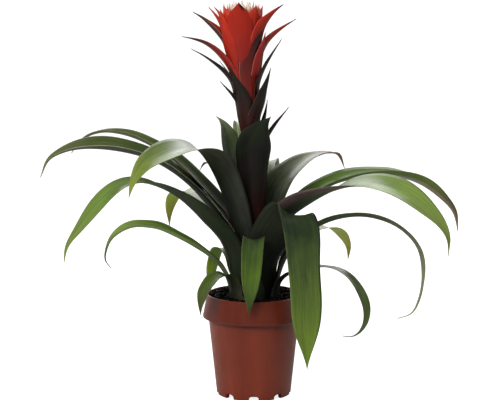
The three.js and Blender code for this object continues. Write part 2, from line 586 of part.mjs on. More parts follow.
const darkBracts = DARK_BRACTS.map((bract) => bractGeometry(bract, DARK_CLASP));
const darkRoom = joined(DARK_BRACTS.map((bract) => bractGeometry(bract, DARK_CLASP, 4 * CLEARANCE)));
const darkStalk = joined([stalkGeometry(), ...darkBracts]);
addMesh("stalk_and_dark_bracts", geometryOf(largestBody(darkStalk)), darkBract);

const redBracts = RED_BRACTS.map((bract) => bractGeometry(bract, RED_CLASP));
const redHead = joined([headCoreGeometry(), ...redBracts]).subtract(darkRoom);
addMesh("red_bracts", geometryOf(largestBody(redHead)), redBract);

const creamHead = joined([creamHeartGeometry(), ...CREAM_TIPS.map(creamGeometry)]);
addMesh("flower_tips", geometryOf(largestBody(creamHead)), creamTip);

export default plant;
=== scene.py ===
"""A guzmania with a red flower head in its nursery pot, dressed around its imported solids.

Blender 4.5. Metres, +Z up, the origin under the middle of the pot. The photograph's camera
looks along +Y.
"""

import math
from types import SimpleNamespace

import bpy
import numpy as np
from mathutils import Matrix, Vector, noise


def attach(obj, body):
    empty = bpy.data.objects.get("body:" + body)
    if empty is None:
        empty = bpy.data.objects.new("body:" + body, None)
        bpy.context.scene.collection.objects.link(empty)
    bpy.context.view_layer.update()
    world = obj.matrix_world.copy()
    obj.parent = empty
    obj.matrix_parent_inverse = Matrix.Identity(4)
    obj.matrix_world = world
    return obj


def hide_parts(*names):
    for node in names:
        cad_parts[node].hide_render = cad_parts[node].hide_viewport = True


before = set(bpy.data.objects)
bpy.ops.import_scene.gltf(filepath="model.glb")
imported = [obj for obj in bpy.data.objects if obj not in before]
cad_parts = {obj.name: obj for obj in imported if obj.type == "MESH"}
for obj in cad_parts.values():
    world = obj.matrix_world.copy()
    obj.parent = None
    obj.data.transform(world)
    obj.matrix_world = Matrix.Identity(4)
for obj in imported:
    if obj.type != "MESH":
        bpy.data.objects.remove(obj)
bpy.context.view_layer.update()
MM = 0.001


# Camera
# The photograph was taken from about two metres with a long lens, a little above the plant.
# The rim's ellipse gives the height of the camera over it.
LENS_MM = 115.1
camera_place = Vector((-0.0048, -1.9988, 0.5371))
camera_aim = Vector((-0.0048, 0, 0.249))

camera_data = bpy.data.cameras.new("camera")
camera_data.lens = LENS_MM
camera_data.sensor_width = 36
camera_data.clip_end = 200
camera = bpy.data.objects.new("camera", camera_data)
camera.location = camera_place
camera.rotation_euler = (camera_aim - camera_place).to_track_quat("-Z", "Y").to_euler()
bpy.context.collection.objects.link(camera)
bpy.context.scene.camera = camera


# Nursery pot
# Thin-walled polypropylene, injection-moulded in red-brown. A tall collar stiffens the rim, and
# the foot stands on a ring with notches that let water out. Its sizes are in millimetres.
POT_HEIGHT = 129.5
POT_WALL = 1.3
RIM_RADIUS = 59.4
COLLAR_FOOT_RADIUS = 65
COLLAR_FOOT = POT_HEIGHT - 30
BODY_TOP_RADIUS = 57.8
BODY_FOOT_RADIUS = 47.4
BODY_FOOT = 1.8
FLOOR_TOP = 5.2
NOTCHES = 9
NOTCH_WIDTH = 12
NOTCH_HEIGHT = 6.6
POT_SIDES = 192


def linear(hex_colour):
    """An sRGB hex colour as linear RGBA."""
    parts = [int(hex_colour[i : i + 2], 16) / 255 for i in (0, 2, 4)]
    return (*[c / 12.92 if c <= 0.04045 else ((c + 0.055) / 1.055) ** 2.4 for c in parts], 1)


def new_material(name):
    """An empty material, and its node tree with only the output left in it."""
    made = bpy.data.materials.new(name)
    made.use_nodes = True
    made.node_tree.nodes.clear()
    made.node_tree.nodes.new("ShaderNodeOutputMaterial")
    return made, made.node_tree


def node(tree, kind, inputs=None, stops=None, **settings):
    """Adds a node. An input is a value, a socket, or a node that stands for its first output."""
    made = tree.nodes.new("ShaderNode" + kind)
    for key, value in settings.items():
        setattr(made, key, value)
    for key, value in (inputs or {}).items():
        if isinstance(value, bpy.types.Node):
            value = value.outputs[0]
        if isinstance(value, bpy.types.NodeSocket):
            tree.links.new(value, made.inputs[key])
        else:
            made.inputs[key].default_value = value
    if stops:
        elements = made.color_ramp.elements
        while len(elements) < len(stops):
            elements.new(1)
        for element, (place, colour) in zip(elements, stops):
            element.position = place
            element.color = linear(colour)
    return made


def surface(tree, shader):
    """Links a shader to the material's output."""
    tree.links.new(shader.outputs[0], tree.nodes["Material Output"].inputs["Surface"])


def add_piece(name, places, faces, material, slot, *replaced, uvs=None):
    """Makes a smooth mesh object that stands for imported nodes."""
    mesh = bpy.data.meshes.new(name)
    mesh.from_pydata([tuple(p) for p in places], [], [tuple(f) for f in faces])
    mesh.polygons.foreach_set("use_smooth", [True] * len(mesh.polygons))
    if uvs is not None:
        mesh.uv_layers.new(name="blade").uv.foreach_set("vector", np.array(uvs, np.float32).ravel())
    mesh.materials.append(material)
    mesh.validate()
    piece = bpy.data.objects.new(name, mesh)
    bpy.context.collection.objects.link(piece)
    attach(piece, "root")
    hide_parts(*replaced)
    return piece


def turned(profile, sides):
    """Places and faces of a closed profile of (radius, height) turned about the Z axis."""
    places = []
    for k in range(sides):
        angle = 2 * math.pi * k / sides
        places += [(r * math.cos(angle), r * math.sin(angle), z) for r, z in profile]
    count = len(profile)
    faces = []
    for k in range(sides):
        for j in range(count):
            a, b = k * count + j, k * count + (j + 1) % count
            c, d = (a + count) % len(places), (b + count) % len(places)
            faces.append((a, c, d, b))
    return places, faces


def pot_profile():
    """The wall's outline from the middle of the underside, over the rim, to the middle of the floor."""
    foot = [
        (0.5, 0),
        (21, 0),
        (23, FLOOR_TOP - POT_WALL),
        (41, FLOOR_TOP - POT_WALL),
        (41.8, 0.3),
        (42.6, 0),
        (BODY_FOOT_RADIUS - 1.2, 0),
        (BODY_FOOT_RADIUS - 0.3, 0.5),
        (BODY_FOOT_RADIUS, BODY_FOOT),
    ]
    body = [
        (
            BODY_FOOT_RADIUS + t * (BODY_TOP_RADIUS - BODY_FOOT_RADIUS),
            BODY_FOOT + t * (COLLAR_FOOT - BODY_FOOT),
        )
        for t in (0.06, 0.2, 0.4, 0.6, 0.8, 0.96)
    ]
    collar = [
        (BODY_TOP_RADIUS + 0.1, COLLAR_FOOT + 0.2),
        (BODY_TOP_RADIUS + 0.8, COLLAR_FOOT + 0.7),
        (COLLAR_FOOT_RADIUS - 1.1, COLLAR_FOOT + 0.3),
        (COLLAR_FOOT_RADIUS - 0.4, COLLAR_FOOT + 0.5),
        (COLLAR_FOOT_RADIUS, COLLAR_FOOT + 1.4),
        (COLLAR_FOOT_RADIUS - 0.8, COLLAR_FOOT + 5),
        (RIM_RADIUS + 1.5, COLLAR_FOOT + 22),
    ]
    rounding = ((0.5, 3.4), (0.3, 1.2), (-0.2, 0.3), (-0.8, 0), (-1.4, 0.3), (-1.6, 1.4))
    rim = [(RIM_RADIUS + out, POT_HEIGHT - down) for out, down in rounding]
    inside = [
        (COLLAR_FOOT_RADIUS - POT_WALL - 0.4, COLLAR_FOOT + 3),
        (BODY_TOP_RADIUS - POT_WALL, COLLAR_FOOT + 1.2),
        (BODY_FOOT_RADIUS - POT_WALL, FLOOR_TOP + 1.2),
        (BODY_FOOT_RADIUS - POT_WALL - 1.2, FLOOR_TOP),
        (24.2, FLOOR_TOP),
        (22, POT_WALL),
        (0.5, POT_WALL),
    ]
    return foot + body + collar + rim + inside


def cut_notches(pot):
    """Cuts the round-topped drainage notches out of the foot with a boolean."""
    half = NOTCH_WIDTH / 2
    arch = [(-half, -10), (half, -10)]
    arch += [
        (half * math.cos(a), NOTCH_HEIGHT * (0.45 + 0.55 * math.sin(a))) for a in np.linspace(0, math.pi, 13)
    ]
    places, faces = [], []
    for k in range(NOTCHES):
        turn = 2 * math.pi * k / NOTCHES - math.pi / 2
        start = len(places)
        for reach in (BODY_FOOT_RADIUS - 7, BODY_FOOT_RADIUS + 9):
            for side, up in arch:
                x = reach * math.cos(turn) - side * math.sin(turn)
                y = reach * math.sin(turn) + side * math.cos(turn)
                places.append((x * MM, y * MM, up * MM))
        count = len(arch)
        faces.append(reversed(range(start, start + count)))
        faces.append(range(start + count, start + 2 * count))
        for j in range(count):
            a, b = start + j, start + (j + 1) % count
            faces.append((a, b, b + count, a + count))
    mesh = bpy.data.meshes.new("notches")
    mesh.from_pydata(places, [], [tuple(f) for f in faces])
    tool = bpy.data.objects.new("notches", mesh)
    bpy.context.collection.objects.link(tool)
    cut = pot.modifiers.new("notches", "BOOLEAN")
    cut.operation = "DIFFERENCE"
    cut.object = tool
    apply_modifiers(pot)
    bpy.data.objects.remove(tool)


def apply_modifiers(piece):
    """Turns a piece's modifiers into its mesh."""
    shown = piece.evaluated_get(bpy.context.evaluated_depsgraph_get())
    mesh = bpy.data.meshes.new_from_object(shown)
    piece.modifiers.clear()
    piece.data = mesh


def spread(low, high, to_low, to_high):
    """The settings of a map range in which values from low to high become to_low to to_high."""
    return {"From Min": low, "From Max": high, "To Min": to_low, "To Max": to_high}


def polypropylene():
    """Moulded polypropylene: semi-gloss, faintly waxy, with flow marks down the wall, and painted shade that
    darkens the collar above the seam.
    """
    made, tree = new_material("moulded_polypropylene")
    place = node(tree, "TexCoord").outputs["Object"]
    stretched = node(tree, "Mapping", {"Vector": place, "Scale": (1, 1, 0.12)})
    flow = node(tree, "TexNoise", {"Vector": stretched, "Scale": 42, "Detail": 3})
    cloud = node(tree, "TexNoise", {"Vector": place, "Scale": 14, "Detail": 4})
    both = node(tree, "Math", {0: flow, 1: cloud}, operation="ADD")
    halved = node(tree, "Math", {0: both, 1: 0.5}, operation="MULTIPLY")
    tints = [(0.36, "6e2a1a"), (0.5, "7c321f"), (0.64, "883924")]
    colour = node(tree, "ValToRGB", {"Fac": halved}, stops=tints)
    height = node(tree, "SeparateXYZ", {"Vector": place}).outputs["Z"]
    seam = {"From Min": (COLLAR_FOOT - 1) * MM, "From Max": (COLLAR_FOOT + 1) * MM}
    # Painted shade: the collar above the seam is coloured darker than the body, for the shade the leaves
    # cast on it.
    collar_painted_shade = node(tree, "MapRange", {"Value": height, **seam, "To Min": 0.84, "To Max": 0.52})
    collar_shaded_colour = node(tree, "HueSaturation", {"Value": collar_painted_shade, "Color": colour})
    dust = node(tree, "TexNoise", {"Vector": place, "Scale": 160, "Detail": 5})
    rough = node(tree, "MapRange", {"Value": dust, **spread(0.35, 0.7, 0.3, 0.44)})
    bump = node(tree, "Bump", {"Height": dust, "Strength": 0.05, "Distance": 0.2 * MM})
    shader = node(
        tree,
        "BsdfPrincipled",
        {
            "Base Color": collar_shaded_colour,
            "Roughness": rough,
            "IOR": 1.4,
            "Subsurface Weight": 0.12,
            "Subsurface Radius": (0.004, 0.0012, 0.0006),
            "Subsurface Scale": 1.0,
            "Normal": bump,
        },
    )
    surface(tree, shader)
    return made


pot_places, pot_faces = turned(pot_profile(), POT_SIDES)
pot = add_piece("nursery_pot", np.array(pot_places) * MM, pot_faces, polypropylene(), "pot", "pot")
cut_notches(pot)


# Potting peat
# Dark fibrous peat, pressed loosely round the plant up to the rim, with crumbs on top and a
# few pale grains of perlite.
PEAT_EDGE_RADIUS = 57.4 * MM
PEAT_EDGE_TOP = 127.2 * MM
PEAT_MIDDLE_TOP = 123.1 * MM
PEAT_GRID = 150
CRUMBS = 420
PERLITE_GRAINS = 26


def peat_height(x, y):
    """The lumpy top of the peat, lower round the plant than at the wall."""
    radius = math.hypot(x, y)
    heap = PEAT_MIDDLE_TOP + (PEAT_EDGE_TOP - PEAT_MIDDLE_TOP) * min(1, radius / PEAT_EDGE_RADIUS)
    coarse = noise.noise(Vector((x, y, 0)) / (13 * MM))
    lumps = noise.noise(Vector((x, y, 0.3)) / (5 * MM))
    fine = noise.noise(Vector((x, y, 0.7)) / (1.8 * MM))
    return heap + (1.5 * coarse + 1.1 * lumps + 0.6 * fine) * MM


def peat_top():
    """A disc of small quads at the peat's height."""
    places, faces = [(0, 0, peat_height(0, 0))], []
    rings, sides = PEAT_GRID // 2, PEAT_GRID
    for i in range(1, rings + 1):
        radius = PEAT_EDGE_RADIUS * i / rings
        for k in range(sides):
            x, y = radius * math.cos(2 * math.pi * k / sides), radius * math.sin(2 * math.pi * k / sides)
            drop = 2.5 * MM * max(0, i / rings - 0.93) / 0.07
            places.append((x, y, peat_height(x, y) - drop))
    for k in range(sides):
        faces.append((0, 1 + k, 1 + (k + 1) % sides))
    for i in range(rings - 1):
        for k in range(sides):
            a, b = 1 + i * sides + k, 1 + i * sides + (k + 1) % sides
            faces.append((a, a + sides, b + sides, b))
    return places, faces


def close_below(places, faces, rim):
    """Closes a disc into a plug that fills the pot: rim is the index of its outer ring's first point."""
    sides = len(places) - rim
    for z, radius in ((COLLAR_FOOT * MM, 55.2 * MM), (6 * MM, 46 * MM)):
        start = len(places)
        for k in range(sides):
            angle = 2 * math.pi * k / sides
            places.append((radius * math.cos(angle), radius * math.sin(angle), z))
        upper = start - sides
        for k in range(sides):
            b = (k + 1) % sides
            faces.append((upper + k, start + k, start + b, upper + b))
    faces.append([len(places) - 1 - k for k in range(sides)])


def lump(place, size, seed, places, faces):
    """Adds one angular crumb: an eight-cornered block with its corners moved by noise."""
    start = len(places)
    for i in range(8):
        corner = Vector(((i & 1) - 0.5, (i >> 1 & 1) - 0.5, (i >> 2 & 1) - 0.5)) * size
        shift = noise.noise_vector(Vector((seed * 1.7, i * 2.3, 4.1))) * size * 0.55
        places.append(tuple(Vector(place) + corner + shift))
    for quad in ((0, 2, 3, 1), (4, 5, 7, 6), (0, 1, 5, 4), (2, 6, 7, 3), (0, 4, 6, 2), (1, 3, 7, 5)):
        faces.append([start + i for i in quad])


def scattered_lumps(count, smallest, largest, seed, inner=36 * MM):
    """Lumps strewn over the peat between the plant and the wall, in one mesh."""
    places, faces = [], []
    draw = np.random.default_rng(seed)
    for i in range(count):
        radius = math.sqrt(draw.uniform(inner**2, (PEAT_EDGE_RADIUS - 3 * MM) ** 2))
        angle = draw.uniform(0, 2 * math.pi)
        x, y = radius * math.cos(angle), radius * math.sin(angle)
        size = draw.uniform(smallest, largest)
        lump((x, y, peat_height(x, y) + 0.25 * size), size, i + seed, places, faces)
    return places, faces


def peat():
    """Moist peat: almost black, matt, with lighter fibres."""
    made, tree = new_material("moist_peat")
    place = node(tree, "TexCoord").outputs["Object"]
    grain = node(tree, "TexNoise", {"Vector": place, "Scale": 700, "Detail": 6, "Roughness": 0.7})
    colour = node(
        tree,
        "ValToRGB",
        {"Fac": grain},
        stops=[(0.4, "060504"), (0.55, "0d0a08"), (0.66, "18130f"), (0.76, "342b23")],
    )
    bump = node(tree, "Bump", {"Height": grain, "Strength": 0.9, "Distance": 0.6 * MM})
    shader = node(
        tree,
        "BsdfPrincipled",
        {"Base Color": colour, "Roughness": 1, "Specular IOR Level": 0.15, "Normal": bump},
    )
    surface(tree, shader)
    return made


def perlite():
    """Expanded perlite: chalky off-white grains."""
    made, tree = new_material("perlite")
    place = node(tree, "TexCoord").outputs["Object"]
    grain = node(tree, "TexNoise", {"Vector": place, "Scale": 900, "Detail": 3})
    colour = node(tree, "ValToRGB", {"Fac": grain}, stops=[(0.35, "8d8578"), (0.6, "d9d3c6")])
    shader = node(tree, "BsdfPrincipled", {"Base Color": colour, "Roughness": 0.85})
    surface(tree, shader)
    return made


peat_material = peat()
plug_places, plug_faces = peat_top()
close_below(plug_places, plug_faces, len(plug_places) - PEAT_GRID)
add_piece("peat_plug", plug_places, plug_faces, peat_material, "peat", "potting_peat")
crumbs = scattered_lumps(CRUMBS, 1.2 * MM, 4.2 * MM, 3)
add_piece("peat_crumbs", *crumbs, peat_material, "peat", "potting_peat")
grains = scattered_lumps(PERLITE_GRAINS, 1.0 * MM, 2.6 * MM, 11, 40 * MM)
add_piece("perlite_grains", *grains, perlite(), "peat", "potting_peat")


# Rosette leaves
# Long thin straps that clasp one another at the base, arch over and hang. Each is hollow on
# top. Its colours run from dark at the root, partly its own colour and partly painted shade of
# the rosette's heart, to paler and yellower towards its tip, partly painted light shining through it.
# The paths, widths and turns are those of the imported solids, in millimetres and degrees.
ROSETTE_X = 1
ROSETTE_OUTER_RADIUS = 31
RING_SPACING = 2.1
RING_SPREAD = 0.0042
SHEATH_FOOT = 116
SHEATH_THICKNESS = 1.5
WELL_FLOOR = 115.5
STRAP_THICKNESS = 0.8
RIB_DEPTH = 0.35
RIB_WIDTH = 0.09
MARGIN_WAVE = 0.35
WAVES_ALONG = 34
MOST_HALF_ANGLE = 2.6
LEAF_STEPS = 96
LEAF_COLUMNS = 13
TINTS_AT = (0.22, 0.48, 0.76, 0.97)


def smooth_curve(points, steps=48):
    """Places along a centripetal Catmull-Rom curve through the points."""
    ends = [2 * points[0] - points[1], *points, 2 * points[-1] - points[-2]]
    share = np.linspace(0, 1, steps, endpoint=False)[:, None]
    stretches = []
    for a, b, c, d in zip(ends, ends[1:], ends[2:], ends[3:]):
        before, here, after = [np.linalg.norm(q - p) ** 0.5 for p, q in ((a, b), (b, c), (c, d))]
        start = ((b - a) / before - (c - a) / (before + here) + (c - b) / here) * here
        stop = ((c - b) / here - (d - b) / (here + after) + (d - c) / after) * here
        square = (3 * (c - b) - 2 * start - stop) * share**2
        stretches.append(b + start * share + square + (2 * (b - c) + start + stop) * share**3)
    return np.concatenate([*stretches, [points[-1]]])


def length_of(points):
    """The length of the smooth curve through the points."""
    return np.linalg.norm(np.diff(smooth_curve(points), axis=0), axis=1).sum()


def along(values, share):
    """A smooth curve through evenly spaced values, read at shares from 0 to 1."""
    values = np.array(values, float)
    place = np.clip(share, 0, 1) * (len(values) - 1)
    i = np.minimum(np.floor(place).astype(int), len(values) - 2)
    t = place - i
    step = values[i + 1] - values[i]
    start = (values[i + 1] - values[np.maximum(i - 1, 0)]) / 2
    stop = (values[np.minimum(i + 2, len(values) - 1)] - values[i]) / 2
    return values[i] + t * (start + t * (3 * step - 2 * start - stop + t * (start + stop - 2 * step)))


def smoothstep(share, low, high):
    """0 below low, 1 above high and a smooth rise between them."""
    t = np.clip((share - low) / (high - low), 0, 1)
    return t * t * (3 - 2 * t)


def between(low, high, share):
    """The value at a share of the way from low to high."""
    return low + (high - low) * share


def upright(points):
    """[out, up] or [out, up, aside] points as an array of (out, aside, up)."""
    return np.array([(p[0], p[2] if len(p) > 2 else 0, p[1]) for p in points], float)


def shares_along(places):
    """The share of a curve's length at each of its places."""
    reached = np.concatenate([[0], np.cumsum(np.linalg.norm(np.diff(places, axis=0), axis=1))])
    return reached / reached[-1]


def distance_out(points, share):
    """How far the smooth curve through the points is from the stem, at shares of its length."""
    curve = smooth_curve(points)
    return np.interp(share, shares_along(curve), np.hypot(curve[:, 0], curve[:, 1]))


def blade(points, turn, half_width, radius, thickness, roll=None, keel=0.0, wave=0.0,
          axis_x=0.0, steps=LEAF_STEPS, columns=LEAF_COLUMNS, number=0, lean=None):
    """A strap along a midrib, an arc across it with its hollow side to the stem, in millimetres.

    half_width, radius and thickness are given at each share of the length. Its UV map runs
    from 0 to 1 across the hollow face and from 1 to 2 across the back, and up from root to tip.
    """
    places = smooth_curve(points)
    reached = shares_along(places)
    share = np.linspace(0, 1, steps + 1)

    def at(s):
        return np.stack([np.interp(s, reached, places[:, k]) for k in range(3)], 1)

    tangent = at(np.minimum(share + 0.004, 1)) - at(np.maximum(share - 0.004, 0))
    tangent /= np.linalg.norm(tangent, axis=1)[:, None]
    across = np.array([0, 1, 0]) - tangent * tangent[:, 1:2]
    across /= np.linalg.norm(across, axis=1)[:, None]
    angle = np.radians(roll if roll is not None else np.zeros_like(share))[:, None]
    across = across * np.cos(angle) + np.cross(tangent, across) * np.sin(angle)
    hollow = np.cross(tangent, across)
    origin = at(share)

    ring = 2 * columns - 2
    order = np.arange(ring)
    inside = order < columns
    column = np.where(inside, order, ring - order) * 2 / (columns - 1) - 1
    face = np.where(inside, -1, 1) * np.sqrt(1 - column**2)
    half_angle = np.minimum(half_width / radius, MOST_HALF_ANGLE)[:-1, None]
    shell = radius[:-1, None] + face * thickness[:-1, None] / 2
    turned_by = half_angle * column
    ripple = wave * column**2 * np.sign(column) * np.sin(share[:-1, None] * WAVES_ALONG + 2 * column)
    rib = keel * np.exp(-((column / RIB_WIDTH) ** 2))
    rise = radius[:-1, None] - shell * np.cos(turned_by) - rib + ripple
    side = shell * np.sin(turned_by)
    rings = origin[:-1, None] + hollow[:-1, None] * rise[..., None] + across[:-1, None] * side[..., None]
    local = np.concatenate([rings.reshape(-1, 3), origin[-1:]])

    c, s = math.cos(math.radians(turn)), math.sin(math.radians(turn))
    x = local[:, 0] * c - local[:, 1] * s + axis_x
    y = local[:, 0] * s + local[:, 1] * c
    z = local[:, 2]
    if lean is not None:
        x = x + lean(z)
    placed = np.stack([x, y, z], 1) * MM

    faces, uvs = [], []
    u = [k / (columns - 1) + 2 * number for k in range(ring + 1)]
    for i in range(steps - 1):
        low, high = share[i], share[i + 1]
        for k in range(ring):
            a, b = i * ring + k, i * ring + (k + 1) % ring
            faces.append((a, a + ring, b + ring, b))
            uvs += [(u[k], low), (u[k], high), (u[k + 1], high), (u[k + 1], low)]
    tip, last = len(placed) - 1, (steps - 1) * ring
    for k in range(ring):
        faces.append((last + k, tip, last + (k + 1) % ring))
        uvs += [(u[k], share[-2]), ((u[k] + u[k + 1]) / 2, 1), (u[k + 1], share[-2])]
    for k in range(columns - 1):
        quad = [k, k + 1, (ring - k - 1) % ring, (ring - k) % ring]
        quad = [q for j, q in enumerate(quad) if q not in quad[:j]]
        faces.append(quad)
        uvs += [(u[k], 0)] * len(quad)
    return placed, faces, uvs


def joined(shapes):
    """Several blades as one mesh."""
    places, faces, uvs = [], [], []
    for shape_places, shape_faces, shape_uvs in shapes:
        start = len(places)
        places += list(shape_places)
        faces += [[start + i for i in face] for face in shape_faces]
        uvs += shape_uvs
    return places, faces, uvs


